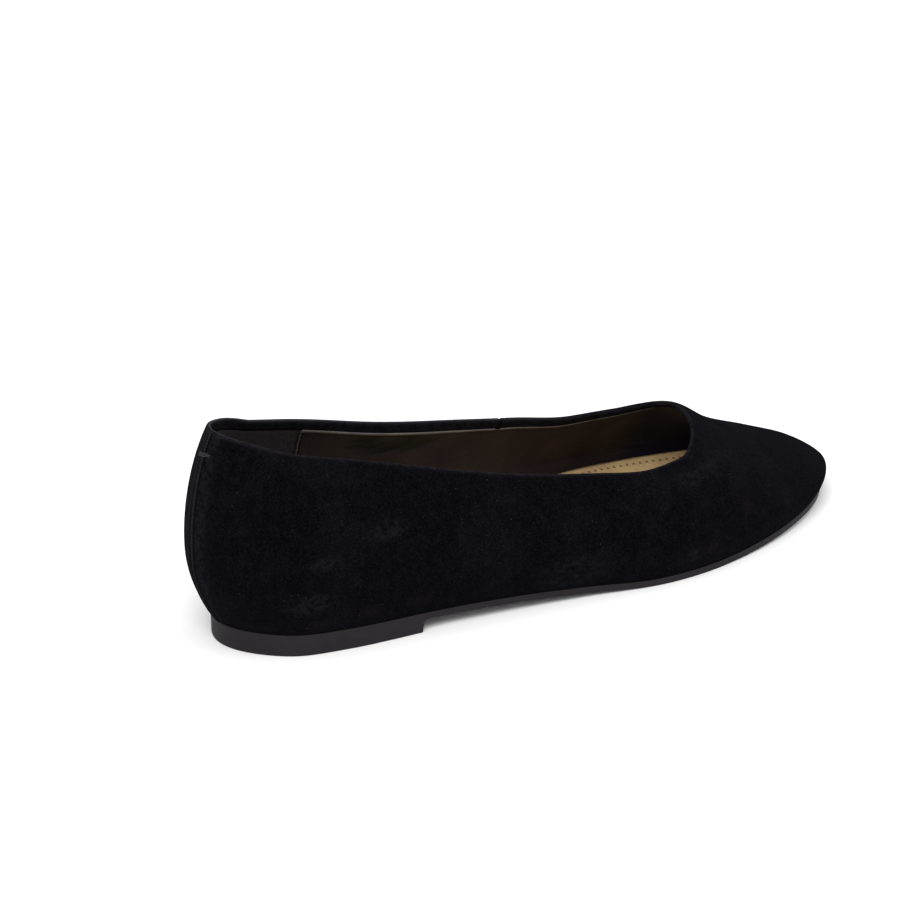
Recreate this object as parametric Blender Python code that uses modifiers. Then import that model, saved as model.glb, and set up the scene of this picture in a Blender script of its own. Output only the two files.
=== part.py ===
"""A ballet flat for the right foot: a suede upper, a moulded rubber sole and an insole.

Metres, +X to the toe, +Y to the big-toe side, +Z up. The shoe stands on its heel and on the
ball of the forepart at Z = 0. Every section is a rib: a vertical cut from the feather line,
where the upper meets the sole, to the ridge of the last. Ribs fan out round heel and toe.
"""
from collections import namedtuple

import bmesh
import bpy
import numpy as np

# Driving dimensions
SOLE_LENGTH = 0.235
BALL_WIDTH = 0.078
INSTEP_HEIGHT = 0.044
BACK_HEIGHT = 0.0760
HEEL_HEIGHT = 0.0078
HEEL_LENGTH = 0.061
HEEL_OVERHANG = 0.0082
SOLE_THICKNESS = 0.0024
TOE_SPRING = 0.0033
WALL_THICKNESS = 0.0017
INSOLE_THICKNESS = 0.0045
INSOLE_CUP = 0.0030
BACK_SEAM_WIDTH = 0.0024
BACK_SEAM_RAISE = 0.0004
SOLE_EDGE_BEVEL = 0.0005
BREAST_FILLET = 0.0018
BREAST_SLOPE = 0.0004
SEAT_GAP = 0.0003

# Places along the sole, as shares of its length
HEEL_CENTRE = 0.095
THROAT = 0.758
TOE_FAN_START = 0.82
TOE_CENTRE = 0.935

# The feather line in plan: stations along the sole, sides as shares of the ball width
Edge = namedtuple("Edge", "place station side")
LITTLE_TOE_SIDE = [
    Edge("back of heel", 0.000, 0.000),
    Edge("heel corner", 0.013, -0.133),
    Edge("heel curve", 0.068, -0.295),
    Edge("heel seat", 0.145, -0.353),
    Edge("waist", 0.330, -0.385),
    Edge("behind joint", 0.500, -0.435),
    Edge("joint", 0.650, -0.495),
    Edge("little toe", 0.755, -0.453),
    Edge("outer toe curve", 0.870, -0.330),
    Edge("outer toe corner", 0.958, -0.148),
]
BIG_TOE_SIDE = [
    Edge("toe tip", 1.000, 0.066),
    Edge("inner toe corner", 0.985, 0.229),
    Edge("inner toe curve", 0.900, 0.330),
    Edge("big toe joint", 0.755, 0.464),
    Edge("joint", 0.650, 0.487),
    Edge("arch front", 0.500, 0.400),
    Edge("waist", 0.330, 0.335),
    Edge("heel seat", 0.145, 0.353),
    Edge("heel curve", 0.068, 0.295),
    Edge("heel corner", 0.013, 0.133),
]

# The ribs by station: lift and spring raise the tread line, as shares of the heel's lift and of
# the toe spring; overhang and widest place the side's bulge, as shares of the heel overhang and
# of the instep height above the feather line; ridge is a share of the instep height, ridge_side
# a share of the ball width; the two fullness columns run from 1, a straight slope, to 2, an ellipse
Section = namedtuple(
    "Section",
    "station lift spring overhang widest ridge ridge_side outer_fullness inner_fullness",
)
SECTIONS = [
    Section(0.00, 1.00, 0.00, 1.00, 0.60, 2.16, 0.000, 1.90, 1.90),
    Section(0.03, 0.98, 0.00, 0.75, 0.56, 2.05, 0.000, 1.74, 1.74),
    Section(0.10, 0.92, 0.00, 0.60, 0.48, 1.84, 0.000, 1.62, 1.65),
    Section(0.25, 0.84, 0.00, 0.47, 0.42, 1.76, 0.000, 1.54, 1.62),
    Section(0.40, 0.63, 0.00, 0.42, 0.38, 1.66, 0.000, 1.61, 1.64),
    Section(0.52, 0.28, 0.00, 0.37, 0.33, 1.46, 0.000, 1.68, 1.50),
    Section(0.62, 0.00, 0.00, 0.32, 0.28, 1.28, 0.010, 1.69, 1.26),
    Section(0.72, 0.00, 0.00, 0.30, 0.24, 1.08, 0.038, 1.72, 1.38),
    Section(0.765, 0.00, 0.08, 0.29, 0.22, 0.97, 0.052, 1.76, 1.50),
    Section(0.81, 0.00, 0.22, 0.28, 0.20, 0.80, 0.065, 1.85, 1.54),
    Section(0.90, 0.00, 0.56, 0.26, 0.14, 0.57, 0.095, 2.05, 2.00),
    Section(1.00, 0.00, 1.00, 0.24, 0.08, 0.35, 0.115, 2.35, 2.35),
]

# The collar from the side, back to throat: heights as shares of the back height
Collar = namedtuple("Collar", "place station height")
COLLAR = [
    Collar("back", 0.000, 1.000),
    Collar("behind ankle", 0.060, 0.934),
    Collar("ankle", 0.180, 0.834),
    Collar("below ankle", 0.310, 0.718),
    Collar("quarter", 0.430, 0.626),
    Collar("waist", 0.540, 0.560),
    Collar("low point", 0.635, 0.516),
    Collar("throat side", 0.695, 0.513),
    Collar("throat corner", 0.728, 0.537),
]

# Divisions of the surface
HEEL_RIBS = 9
QUARTER_RIBS = 13
THROAT_RIBS = 9
VAMP_RIBS = 4
TOE_RIBS = 12
BREAST_RIBS = 4
WALL_ROWS = 14
CURVE_SAMPLES = 60
THROAT_ZONE_START = 0.62
LOWER_CURVE_POWER = 2.1
INSOLE_CUP_STEPS = (0.85, 0.65, 0.35, 0.0)
INSOLE_CUP_POWER = 4

SUEDE_COLOUR = (0.012, 0.013, 0.018, 1.0)
RUBBER_COLOUR = (0.024, 0.022, 0.023, 1.0)
INSOLE_COLOUR = (0.45, 0.34, 0.21, 1.0)

Wall = namedtuple("Wall", "inward height")
Rib = namedtuple("Rib", "foot spine inward span squareness side")


def smooth_table(stations, values):
    """Return a smooth function through the points that never overshoots them."""
    stations = np.array(stations, float)
    values = np.array(values, float)
    steps = np.diff(stations)
    slopes = np.diff(values) / steps
    tangents = [slopes[0]]
    for before, after, short, far in zip(slopes, slopes[1:], steps, steps[1:]):
        if before * after <= 0:
            tangents.append(0.0)
            continue
        near_weight = 2 * far + short
        far_weight = far + 2 * short
        tangents.append((near_weight + far_weight) / (near_weight / before + far_weight / after))
    tangents.append(slopes[-1])

    def value(station):
        station = min(max(station, stations[0]), stations[-1])
        i = min(np.searchsorted(stations, station, side="right") - 1, len(steps) - 1)
        t = (station - stations[i]) / steps[i]
        rise = steps[i] * (tangents[i] * (t - 2 * t**2 + t**3) + tangents[i + 1] * (t**3 - t**2))
        blend = 3 * t**2 - 2 * t**3
        return float(values[i] + (values[i + 1] - values[i]) * blend + rise)

    return value


def section_column(name):
    """One column of the section table as a smooth function of the station."""
    return smooth_table([row.station for row in SECTIONS], [getattr(row, name) for row in SECTIONS])


def closed_curve(points):
    """A closed Catmull-Rom curve, with its tangents weighted by the root of the distances."""
    curve = []
    count = len(points)
    share = np.linspace(0, 1, CURVE_SAMPLES, endpoint=False)[:, None]
    for i in range(count):
        p0, p1, p2, p3 = (points[(i + k) % count] for k in (-1, 0, 1, 2))
        d1, d2, d3 = (np.sqrt(np.linalg.norm(b - a)) for a, b in ((p0, p1), (p1, p2), (p2, p3)))
        start = ((p1 - p0) / d1 - (p2 - p0) / (d1 + d2) + (p2 - p1) / d2) * d2
        end = ((p2 - p1) / d2 - (p3 - p1) / (d2 + d3) + (p3 - p2) / d3) * d2
        curve.append(
            (2 * share**3 - 3 * share**2 + 1) * p1
            + (share**3 - 2 * share**2 + share) * start
            + (3 * share**2 - 2 * share**3) * p2
            + (share**3 - share**2) * end
        )
    return np.concatenate(curve)


def feather_line():
    """The feather line's two sides in plan, back of heel to toe tip: x, y and the tangent."""
    rows = LITTLE_TOE_SIDE + BIG_TOE_SIDE
    points = [np.array([row.station * SOLE_LENGTH, row.side * BALL_WIDTH]) for row in rows]
    curve = closed_curve(points)
    tangent = np.roll(curve, -1, axis=0) - np.roll(curve, 1, axis=0)
    curve = np.hstack([curve, tangent])
    tip = int(np.argmax(curve[:, 0]))
    outer = curve[: tip + 1]
    inner = np.vstack([curve[:1], curve[tip:][::-1]])
    return {"outer": outer, "inner": inner}


FEATHER = feather_line()
TIP = float(FEATHER["outer"][-1, 0])
LIFT = section_column("lift")
SPRING = section_column("spring")
OVERHANG = section_column("overhang")
WIDEST = section_column("widest")
RIDGE = section_column("ridge")
RIDGE_SIDE = section_column("ridge_side")
FULLNESS = {"outer": section_column("outer_fullness"), "inner": section_column("inner_fullness")}


def tread_height(x):
    """Height of the forepart's underside, carried on over the heel block."""
    share = x / SOLE_LENGTH
    return LIFT(share) * (HEEL_HEIGHT - SOLE_THICKNESS) + SPRING(share) * TOE_SPRING


def sole_top(x):
    return tread_height(x) + SOLE_THICKNESS


def ridge_height(x):
    return RIDGE(x / SOLE_LENGTH) * INSTEP_HEIGHT


def collar_height(x):
    """The collar's height over the feather point at x; its last row is the throat, on the ridge."""
    rows = [(row.station, row.height * BACK_HEIGHT) for row in COLLAR]
    rows.append((THROAT, ridge_height(THROAT * SOLE_LENGTH)))
    return smooth_table([row[0] for row in rows], [row[1] for row in rows])(x / SOLE_LENGTH)


def spine_point(x):
    """Where the rib that starts at station x meets the ridge, in plan."""
    heel = HEEL_CENTRE * SOLE_LENGTH
    fan = TOE_FAN_START * SOLE_LENGTH
    at = max(x, heel)
    if x > fan:
        share = (x - fan) / (TIP - fan)
        reach = (TOE_CENTRE * SOLE_LENGTH - fan) / (TIP - fan)
        at = fan + (TIP - fan) * (share - (1 - reach) * share**2)
    return np.array([at, RIDGE_SIDE(at / SOLE_LENGTH) * BALL_WIDTH])


def rib_at(side, x):
    """The rib that starts on the feather line at station x, and how squarely it crosses that line."""
    line = FEATHER[side]
    foot = np.array([x, np.interp(x, line[:, 0], line[:, 1])])
    spine = spine_point(x)
    span = np.linalg.norm(spine - foot)
    inward = (spine - foot) / span
    along = [np.interp(x, line[:, 0], line[:, column]) for column in (2, 3)]
    squareness = abs(inward[0] * along[1] - inward[1] * along[0]) / np.hypot(*along)
    return Rib(foot, spine, inward, span, squareness, side)


def full_profile(rib):
    """The outside of the last in a rib's plane: distance inward from the foot, and height."""
    x = rib.foot[0]
    share = x / SOLE_LENGTH
    start = sole_top(x) + SEAT_GAP
    overhang = OVERHANG(share) * HEEL_OVERHANG
    widest = start + WIDEST(share) * INSTEP_HEIGHT
    fullness = FULLNESS[rib.side](share)
    rise = np.linspace(0, 1, CURVE_SAMPLES)
    lower_inward = -overhang * (1 - (1 - rise) ** LOWER_CURVE_POWER)
    lower_height = start + (widest - start) * rise
    turn = np.linspace(0, np.pi / 2, 2 * CURVE_SAMPLES)[1:]
    upper_inward = (1 - np.cos(turn) ** (2 / fullness)) * (rib.span + overhang) - overhang
    ridge = ridge_height(min(x, rib.spine[0]))
    if x > TOE_FAN_START * SOLE_LENGTH:
        ahead = rib.foot[0] + rib.inward[0] * upper_inward - rib.spine[0]
        ridge = ridge + ahead * ridge_slope(rib.spine[0])
    upper_height = widest + (ridge - widest) * np.sin(turn) ** (2 / fullness)
    return Wall(
        np.concatenate([lower_inward, upper_inward]),
        np.concatenate([lower_height, upper_height]),
    )


def ridge_slope(x):
    step = SOLE_LENGTH / 1000
    return (ridge_height(x + step) - ridge_height(x - step)) / (2 * step)


def wall_profile(rib):
    """The rib as far as the upper goes: to the collar behind the throat, to the ridge ahead of it."""
    wall = full_profile(rib)
    if rib.foot[0] >= THROAT * SOLE_LENGTH:
        return wall
    limit = collar_height(rib.foot[0])
    keep = int(np.searchsorted(wall.height, limit))
    keep = min(keep, len(wall.height) - 1)
    rim = np.interp(limit, wall.height, wall.inward)
    return Wall(np.append(wall.inward[:keep], rim), np.append(wall.height[:keep], limit))


def even_rows(wall, count):
    """The same profile with points at equal distances along it."""
    run = np.hypot(np.diff(wall.inward), np.diff(wall.height))
    along = np.concatenate([[0.0], np.cumsum(run)])
    places = np.linspace(0, along[-1], count)
    return Wall(np.interp(places, along, wall.inward), np.interp(places, along, wall.height))


def shifted(wall, distance):
    """The profile moved along its own normal: inward if positive, outward if negative."""
    inward_slope = np.gradient(wall.inward)
    height_slope = np.gradient(wall.height)
    length = np.hypot(inward_slope, height_slope)
    return Wall(
        wall.inward + distance * height_slope / length,
        wall.height - distance * inward_slope / length,
    )


def place(rib, inward, height):
    """A point of a rib's plane in space."""
    flat = rib.foot + rib.inward * inward
    return (flat[0], flat[1], height)


def station_at_side(side, distance):
    """The station near the back of the heel where the feather line is this far from the centre."""
    line = FEATHER[side][:CURVE_SAMPLES]
    return float(np.interp(distance, np.abs(line[:, 1]), line[:, 0]))


def rib_stations(side):
    """Stations of one side's ribs, from the centre back to the toe tip."""
    heel = HEEL_CENTRE * SOLE_LENGTH
    zone = THROAT_ZONE_START * SOLE_LENGTH
    throat = THROAT * SOLE_LENGTH
    fan = TOE_FAN_START * SOLE_LENGTH
    half_seam = BACK_SEAM_WIDTH / 2
    seam = [0.0, station_at_side(side, half_seam), station_at_side(side, half_seam + BACK_SEAM_RAISE)]
    turn = np.linspace(0, np.pi / 2, HEEL_RIBS + 1)[1:-1]
    curve = seam[-1] + (heel - seam[-1]) * (1 - np.cos(turn))
    quarter = np.linspace(heel, zone, QUARTER_RIBS, endpoint=False)
    turn = np.linspace(0, np.pi / 2, THROAT_RIBS, endpoint=False)
    throat_zone = zone + (throat - zone) * np.sin(turn)
    vamp = np.linspace(throat, fan, VAMP_RIBS, endpoint=False)
    turn = np.linspace(0, np.pi / 2, TOE_RIBS)
    toe = fan + (TIP - fan) * np.sin(turn)
    return np.concatenate([seam, curve, quarter, throat_zone, vamp, toe])


def grid_mesh(name, grids):
    """One mesh from grids of points, joined where their edges meet."""
    mesh = bmesh.new()
    for grid, flip in grids:
        corners = [[mesh.verts.new(point) for point in row] for row in grid]
        for row, after in zip(corners, corners[1:]):
            for a, b, c, d in zip(row, after, after[1:], row[1:]):
                mesh.faces.new((d, c, b, a) if flip else (a, b, c, d))
    bmesh.ops.remove_doubles(mesh, verts=mesh.verts, dist=1e-6)
    bmesh.ops.recalc_face_normals(mesh, faces=mesh.faces)
    data = bpy.data.meshes.new(name)
    mesh.to_mesh(data)
    mesh.free()
    return data


def material(name, colour, roughness):
    surface = bpy.data.materials.new(name)
    surface.use_nodes = True
    shader = surface.node_tree.nodes["Principled BSDF"]
    shader.inputs["Base Color"].default_value = colour
    shader.inputs["Roughness"].default_value = roughness
    shader.inputs["Metallic"].default_value = 0.0
    return surface


def add_piece(name, data, surface, parent):
    piece = bpy.data.objects.new(name, data)
    piece.parent = parent
    data.materials.append(surface)
    data.shade_smooth()
    bpy.data.collections["ballet_flat"].objects.link(piece)
    return piece


def upper_grid(side):
    """The outside of one half of the upper, rib by rib; the strip at the centre back is raised."""
    grid = []
    for x in rib_stations(side):
        rib = rib_at(side, x)
        wall = even_rows(wall_profile(rib), WALL_ROWS)
        if x <= station_at_side(side, BACK_SEAM_WIDTH / 2):
            wall = shifted(wall, -BACK_SEAM_RAISE)
        grid.append([place(rib, r, z) for r, z in zip(wall.inward, wall.height)])
    return grid


def build_upper(parent):
    halves = [(upper_grid("outer"), False), (upper_grid("inner"), True)]
    data = grid_mesh("upper", halves)
    piece = add_piece("upper", data, material("suede", SUEDE_COLOUR, 0.95), parent)
    wall = piece.modifiers.new("wall", "SOLIDIFY")
    wall.thickness = WALL_THICKNESS
    wall.offset = -1.0
    wall.use_even_offset = True
    wall.use_rim = True
    return piece


def sole_ribs(side):
    """Ribs of the sole, each with the height of its underside: block, breast and forepart."""
    ribs = []
    for x in rib_stations(side):
        if x < HEEL_LENGTH - SOLE_THICKNESS:
            ribs.append((rib_at(side, x), 0.0))
    ribs.append((rib_at(side, HEEL_LENGTH), 0.0))
    arch = tread_height(HEEL_LENGTH)
    foot = HEEL_LENGTH + BREAST_SLOPE
    for turn in np.linspace(0, np.pi / 2, BREAST_RIBS):
        x = foot + BREAST_FILLET * (1 - np.cos(turn))
        drop = BREAST_FILLET * (1 - np.sin(turn))
        ribs.append((rib_at(side, x), tread_height(x) - drop))
    for x in rib_stations(side):
        if x > foot + BREAST_FILLET + arch / 4:
            ribs.append((rib_at(side, x), None))
    return ribs


def sole_grid(side):
    """Half of the sole, round each rib from the centre of its top to the centre of its tread."""
    grid = []
    for rib, underside in sole_ribs(side):
        loop = []
        for share in (0.0, 0.5, 1.0):
            flat = rib.spine + (rib.foot - rib.spine) * share
            loop.append((flat[0], flat[1], sole_top(flat[0])))
        base = tread_height(rib.foot[0]) if underside is None else underside
        loop.append(place(rib, 0.0, base + SOLE_EDGE_BEVEL))
        for share in (0.0, 0.33, 0.66, 1.0):
            start = rib.foot + rib.inward * SOLE_EDGE_BEVEL
            flat = start + (rib.spine - start) * share
            height = tread_height(flat[0]) if underside is None else underside
            loop.append((flat[0], flat[1], height))
        grid.append(loop)
    return grid


def build_sole(parent):
    halves = [(sole_grid("outer"), False), (sole_grid("inner"), True)]
    data = grid_mesh("sole", halves)
    return add_piece("sole", data, material("rubber", RUBBER_COLOUR, 0.7), parent)


def insole_grid(side):
    """Half of the insole, round each rib, with its edge one gap inside the upper's wall."""
    grid = []
    for x in rib_stations(side):
        rib = rib_at(side, x)
        inner = shifted(full_profile(rib), (WALL_THICKNESS + SEAT_GAP) / rib.squareness)
        base = sole_top(x) + SEAT_GAP
        turn = min(max(inner.height[0], base + INSOLE_THICKNESS / 4), base + INSOLE_THICKNESS / 2)
        levels = [base, turn, base + INSOLE_THICKNESS + INSOLE_CUP]
        edges = [float(np.interp(level, inner.height, inner.inward)) for level in levels]
        loop = []
        for share in (0.0, 0.5):
            flat = rib.spine + (rib.foot - rib.spine) * share
            loop.append((flat[0], flat[1], sole_top(flat[0]) + SEAT_GAP))
        for edge, level in zip(edges, levels):
            loop.append(place(rib, edge, level))
        for share in INSOLE_CUP_STEPS:
            flat = rib.spine + (rib.foot - rib.spine) * share
            rise = INSOLE_CUP * share**INSOLE_CUP_POWER
            loop.append((flat[0], flat[1], sole_top(flat[0]) + SEAT_GAP + INSOLE_THICKNESS + rise))
        grid.append(loop)
    return grid


def build_insole(parent):
    halves = [(insole_grid("outer"), False), (insole_grid("inner"), True)]
    data = grid_mesh("insole", halves)
    return add_piece("insole", data, material("sock", INSOLE_COLOUR, 0.8), parent)


def centre_on_origin(parent):
    """Put the middle of the upper's and sole's outer box over the origin, with the tread at Z = 0."""
    points = [point for side in ("outer", "inner") for rib in upper_grid(side) for point in rib]
    middle = (np.min(points, axis=0) + np.max(points, axis=0)) / 2
    parent.location = (-middle[0], -middle[1], 0.0)


def main():
    for old in list(bpy.data.objects):
        bpy.data.objects.remove(old)
    shoe = bpy.data.collections.new("ballet_flat")
    bpy.context.scene.collection.children.link(shoe)
    centre = bpy.data.objects.new("shoe_centre", None)
    shoe.objects.link(centre)
    centre_on_origin(centre)
    build_upper(centre)
    build_sole(centre)
    build_insole(centre)


main()
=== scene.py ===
"""The looks of a black suede ballet flat for the right foot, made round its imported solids.

Metres, +X to the toe, +Y to the big-toe side, +Z up. The shoe's surfaces are worked out from
the same sizes and tables as its solids, with finer divisions. Panel: 3D view > sidebar >
Ballet Flat.
"""
import math
from collections import namedtuple

import bmesh
import bpy
import numpy as np
from bpy.props import FloatProperty, FloatVectorProperty, PointerProperty
from mathutils import Matrix, Vector


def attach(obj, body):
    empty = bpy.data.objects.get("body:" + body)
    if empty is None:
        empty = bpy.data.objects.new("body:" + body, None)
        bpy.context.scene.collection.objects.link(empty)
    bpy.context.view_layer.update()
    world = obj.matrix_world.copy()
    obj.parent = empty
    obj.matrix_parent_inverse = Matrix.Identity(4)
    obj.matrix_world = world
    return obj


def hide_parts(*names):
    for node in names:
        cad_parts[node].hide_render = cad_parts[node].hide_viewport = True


bl_info = {
    "name": "Ballet Flat Looks",
    "version": (1, 0, 0),
    "blender": (4, 5, 0),
    "location": "View3D > Sidebar > Ballet Flat",
    "description": "Suede upper, linings, insole, sole and stitching of a ballet flat",
    "category": "Add Mesh",
}

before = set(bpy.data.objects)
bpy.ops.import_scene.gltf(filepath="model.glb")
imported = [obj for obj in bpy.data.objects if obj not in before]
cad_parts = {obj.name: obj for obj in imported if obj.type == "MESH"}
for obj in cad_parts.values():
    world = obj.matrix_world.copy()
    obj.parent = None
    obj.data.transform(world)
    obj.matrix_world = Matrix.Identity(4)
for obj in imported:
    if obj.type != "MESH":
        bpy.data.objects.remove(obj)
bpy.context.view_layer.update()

# Places along the sole, as shares of its length
HEEL_CENTRE = 0.095
THROAT = 0.758
THROAT_ZONE_START = 0.62
TOE_FAN_START = 0.82
TOE_CENTRE = 0.935

# The feather line in plan: stations along the sole, sides as shares of the ball width
Edge = namedtuple("Edge", "place station side")
LITTLE_TOE_SIDE = [
    Edge("back of heel", 0.000, 0.000),
    Edge("heel corner", 0.013, -0.133),
    Edge("heel curve", 0.068, -0.295),
    Edge("heel seat", 0.145, -0.353),
    Edge("waist", 0.330, -0.385),
    Edge("behind joint", 0.500, -0.435),
    Edge("joint", 0.650, -0.495),
    Edge("little toe", 0.755, -0.453),
    Edge("outer toe curve", 0.870, -0.330),
    Edge("outer toe corner", 0.958, -0.148),
]
BIG_TOE_SIDE = [
    Edge("toe tip", 1.000, 0.066),
    Edge("inner toe corner", 0.985, 0.229),
    Edge("inner toe curve", 0.900, 0.330),
    Edge("big toe joint", 0.755, 0.464),
    Edge("joint", 0.650, 0.487),
    Edge("arch front", 0.500, 0.400),
    Edge("waist", 0.330, 0.335),
    Edge("heel seat", 0.145, 0.353),
    Edge("heel curve", 0.068, 0.295),
    Edge("heel corner", 0.013, 0.133),
]

# The ribs by station, in shares of the named sizes, as the solids have them
Section = namedtuple(
    "Section",
    "station lift spring overhang widest ridge ridge_side outer_fullness inner_fullness",
)
SECTIONS = [
    Section(0.00, 1.00, 0.00, 1.00, 0.60, 2.16, 0.000, 1.90, 1.90),
    Section(0.03, 0.98, 0.00, 0.75, 0.56, 2.05, 0.000, 1.74, 1.74),
    Section(0.10, 0.92, 0.00, 0.60, 0.48, 1.84, 0.000, 1.62, 1.65),
    Section(0.25, 0.84, 0.00, 0.47, 0.42, 1.76, 0.000, 1.54, 1.62),
    Section(0.40, 0.63, 0.00, 0.42, 0.38, 1.66, 0.000, 1.61, 1.64),
    Section(0.52, 0.28, 0.00, 0.37, 0.33, 1.46, 0.000, 1.68, 1.50),
    Section(0.62, 0.00, 0.00, 0.32, 0.28, 1.28, 0.010, 1.69, 1.26),
    Section(0.72, 0.00, 0.00, 0.30, 0.24, 1.08, 0.038, 1.72, 1.38),
    Section(0.765, 0.00, 0.08, 0.29, 0.22, 0.97, 0.052, 1.76, 1.50),
    Section(0.81, 0.00, 0.22, 0.28, 0.20, 0.80, 0.065, 1.85, 1.54),
    Section(0.90, 0.00, 0.56, 0.26, 0.14, 0.57, 0.095, 2.05, 2.00),
    Section(1.00, 0.00, 1.00, 0.24, 0.08, 0.35, 0.115, 2.35, 2.35),
]

# The collar from the side, back to throat: heights as shares of the back height
Collar = namedtuple("Collar", "place station height")
COLLAR = [
    Collar("back", 0.000, 1.000),
    Collar("behind ankle", 0.060, 0.934),
    Collar("ankle", 0.180, 0.834),
    Collar("below ankle", 0.310, 0.718),
    Collar("quarter", 0.430, 0.626),
    Collar("waist", 0.540, 0.560),
    Collar("low point", 0.635, 0.516),
    Collar("throat side", 0.695, 0.513),
    Collar("throat corner", 0.728, 0.537),
]

# Divisions of the fine surfaces
CURVE_SAMPLES = 60
LOWER_CURVE_POWER = 2.1
STRIP_SHARES = (0, 0.2, 0.38, 0.46, 0.54, 0.66)
HEEL_RIBS = 22
QUARTER_RIBS = 70
THROAT_RIBS = 40
VAMP_RIBS = 14
TOE_RIBS = 34
WALL_ROWS = 56
WALL_CROWDING = 1.5
RIM_STEPS = 9
BAND_STEPS = 4
BREAST_RIBS = 9
SOLE_TOP_SHARES = (0.0, 0.5, 0.97)
TREAD_SHARES = (0.03, 0.2, 0.4, 0.6, 0.8, 1.0)
SOCK_SHARES = (0.90, 0.82, 0.74, 0.64, 0.52, 0.38, 0.2, 0.0)
SIDE_SEAM_STEPS = (-0.0012, -0.0007, -0.00035, 0.0, 0.00035, 0.0007, 0.0012)

# Sheets and gaps inside the solids' wall
SUEDE_SHEET = 0.00045
LINING_SHEET = 0.0004
EDGE_SHEET = 0.0002
EDGE_LIFT = 0.00002
SHEET_GAP = 0.00005
GRIP_DEPTH = 0.00015
LINING_LIFT = 0.0022
LINING_DROP = 7 / 6
LINING_ROWS = 64
SEAT_GAP = 0.0003

# The pale line on the turned edge, by its angle round the edge, partly pale fibres and partly
# painted sheen; the painted light that lightens the band below it; and the collar's pale fibres
# with painted sheen
RIM_TOP = 1.60
RIM_REACH = 0.38
BAND_FUZZ = 0.05
# Painted light that lightens the turned edge and band inside the collar, which get less light
BAND_PAINTED_LIGHT = 0.90
# Pale fibres along the collar with painted sheen, strongest at the back of the heel
EDGE_FUZZ_AND_SHEEN = 0.10
EDGE_FUZZ_AND_SHEEN_REACH = 0.0004
FOOT_SHADE = 0.8
FOOT_SHADE_REACH = 0.00035

# The raised strip at the centre back, how far forward it's looked for, and its edges and the lines
# along them in half widths of the strip
BACK_SEAM_WIDTH = 0.0024
STRIP_ZONE = 0.02
STRIP_EDGE = 1.15
STRIP_SOFTNESS = 0.30
Line = namedtuple("Line", "name middle reach strength")
# A painted highlight along the strip's raised edge, and painted shade at its foot
STRIP_HIGHLIGHT = Line("rubbed edge", 0.85, 0.14, 0.35)
STRIP_FOOT = Line("shaded foot", 1.20, 0.12, 0.75)

# The side seam's trough and shade, and how near it the lining's pale edge stops
SEAM_REACH = 0.0004
SEAM_SHADE = 0.8
SEAM_SHADE_REACH = 0.0005
SEAM_CLEARANCE = 0.0014

# The lining darkened under the vamp, partly the vamp textile's darker colour and partly painted
# shade, and painted shade in its crease
VAMP_SHADE = 4.5
VAMP_SHADE_START = 0.168
VAMP_SHADE_REACH = 0.034
CREASE_SHADE = 2.0

# Small steps of the sole and the insole, and the stitches' sizes
BREAST_SLOPE = 0.0004
BREAST_EDGE = 0.0004
BREAST_LIFT = 0.0001
SOCK_EDGE = 0.02
SOCK_STITCH = (0.0011, 0.0016, 0.00012)
TACK_STITCH_LONG = 0.0026
TACK_STITCH_TALL = 0.00034
TACK_PITCH = 0.0011

# Marks on the little-toe side and inside: nap brushed up and colour taken up by wear, and dents,
# darkened on the lining with painted shade: middle from the back, height, reach each way
Mark = namedtuple("Mark", "name place height long tall strength")
BRUSHED = [
    Mark("heel low", 0.0200, 0.0200, 0.0075, 0.0040, 0.55),
    Mark("heel middle", 0.0245, 0.0340, 0.0055, 0.0018, 0.50),
    Mark("heel front", 0.0485, 0.0405, 0.0065, 0.0032, 0.45),
    Mark("waist low", 0.1140, 0.0115, 0.0110, 0.0065, 0.40),
    Mark("joint", 0.1655, 0.0330, 0.0150, 0.0026, 0.35),
    Mark("joint low", 0.1585, 0.0090, 0.0030, 0.0022, 0.50),
]
TINTED = [
    Mark("feather at the heel", 0.0240, 0.0110, 0.0035, 0.0020, 0.8),
    Mark("feather at the block", 0.0410, 0.0130, 0.0040, 0.0020, 0.8),
    Mark("feather at the breast", 0.0590, 0.0130, 0.0040, 0.0018, 0.8),
    Mark("joint", 0.1655, 0.0100, 0.0022, 0.0018, 0.8),
    Mark("toe", 0.1830, 0.0190, 0.0018, 0.0022, 0.9),
]
# Dents in the lining; their darkening is painted shade
CREASED = [
    Mark("ankle dent", 0.0790, 0.0430, 0.0100, 0.0026, 1.0),
    Mark("dent's tail", 0.0890, 0.0400, 0.0080, 0.0020, 0.8),
    Mark("behind the dent", 0.0680, 0.0465, 0.0060, 0.0022, 0.6),
]
CREASE_DEPTH = 0.0004

# The pale edge's section: how far it stands out, and how far down it lies as a share of its width
EDGE_SECTION = ((0.0, 0.0), (0.00012, 0.15), (0.00014, 0.5), (0.00010, 0.9), (-0.0006, 1.0))

# How wide the lining's pale edge shows below the turned suede
Width = namedtuple("Width", "place station width")
PALE_EDGE = [
    Width("heel grip", 0.0440, 0.0017),
    Width("past the grip", 0.0510, 0.0012),
    Width("ankle", 0.0850, 0.0010),
    Width("waist", 0.1150, 0.0008),
    Width("joint", 0.1600, 0.0005),
    Width("throat", 0.1745, 0.0002),
]

# Stitch rows at the heel grip's front edge: how far ahead of it and how deep in, their stitches
GripRow = namedtuple("GripRow", "name ahead sink long wide tall pitch colour")
GRIP_ROWS = [
    GripRow("grip_cord", 0.0, 0.00005, 0.0010, 0.0007, 0.0003, 0.0006, "grip_cord"),
    GripRow("grip_stitches", 0.0009, 0.00035, 0.0013, 0.0006, 0.0004, 0.0017, "suede_dark"),
    GripRow("grip_seam", -0.0009, 0.00005, 0.0013, 0.0004, 0.0003, 0.0017, "suede_dark"),
]
GRIP_LINE_POINTS = 40

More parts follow.
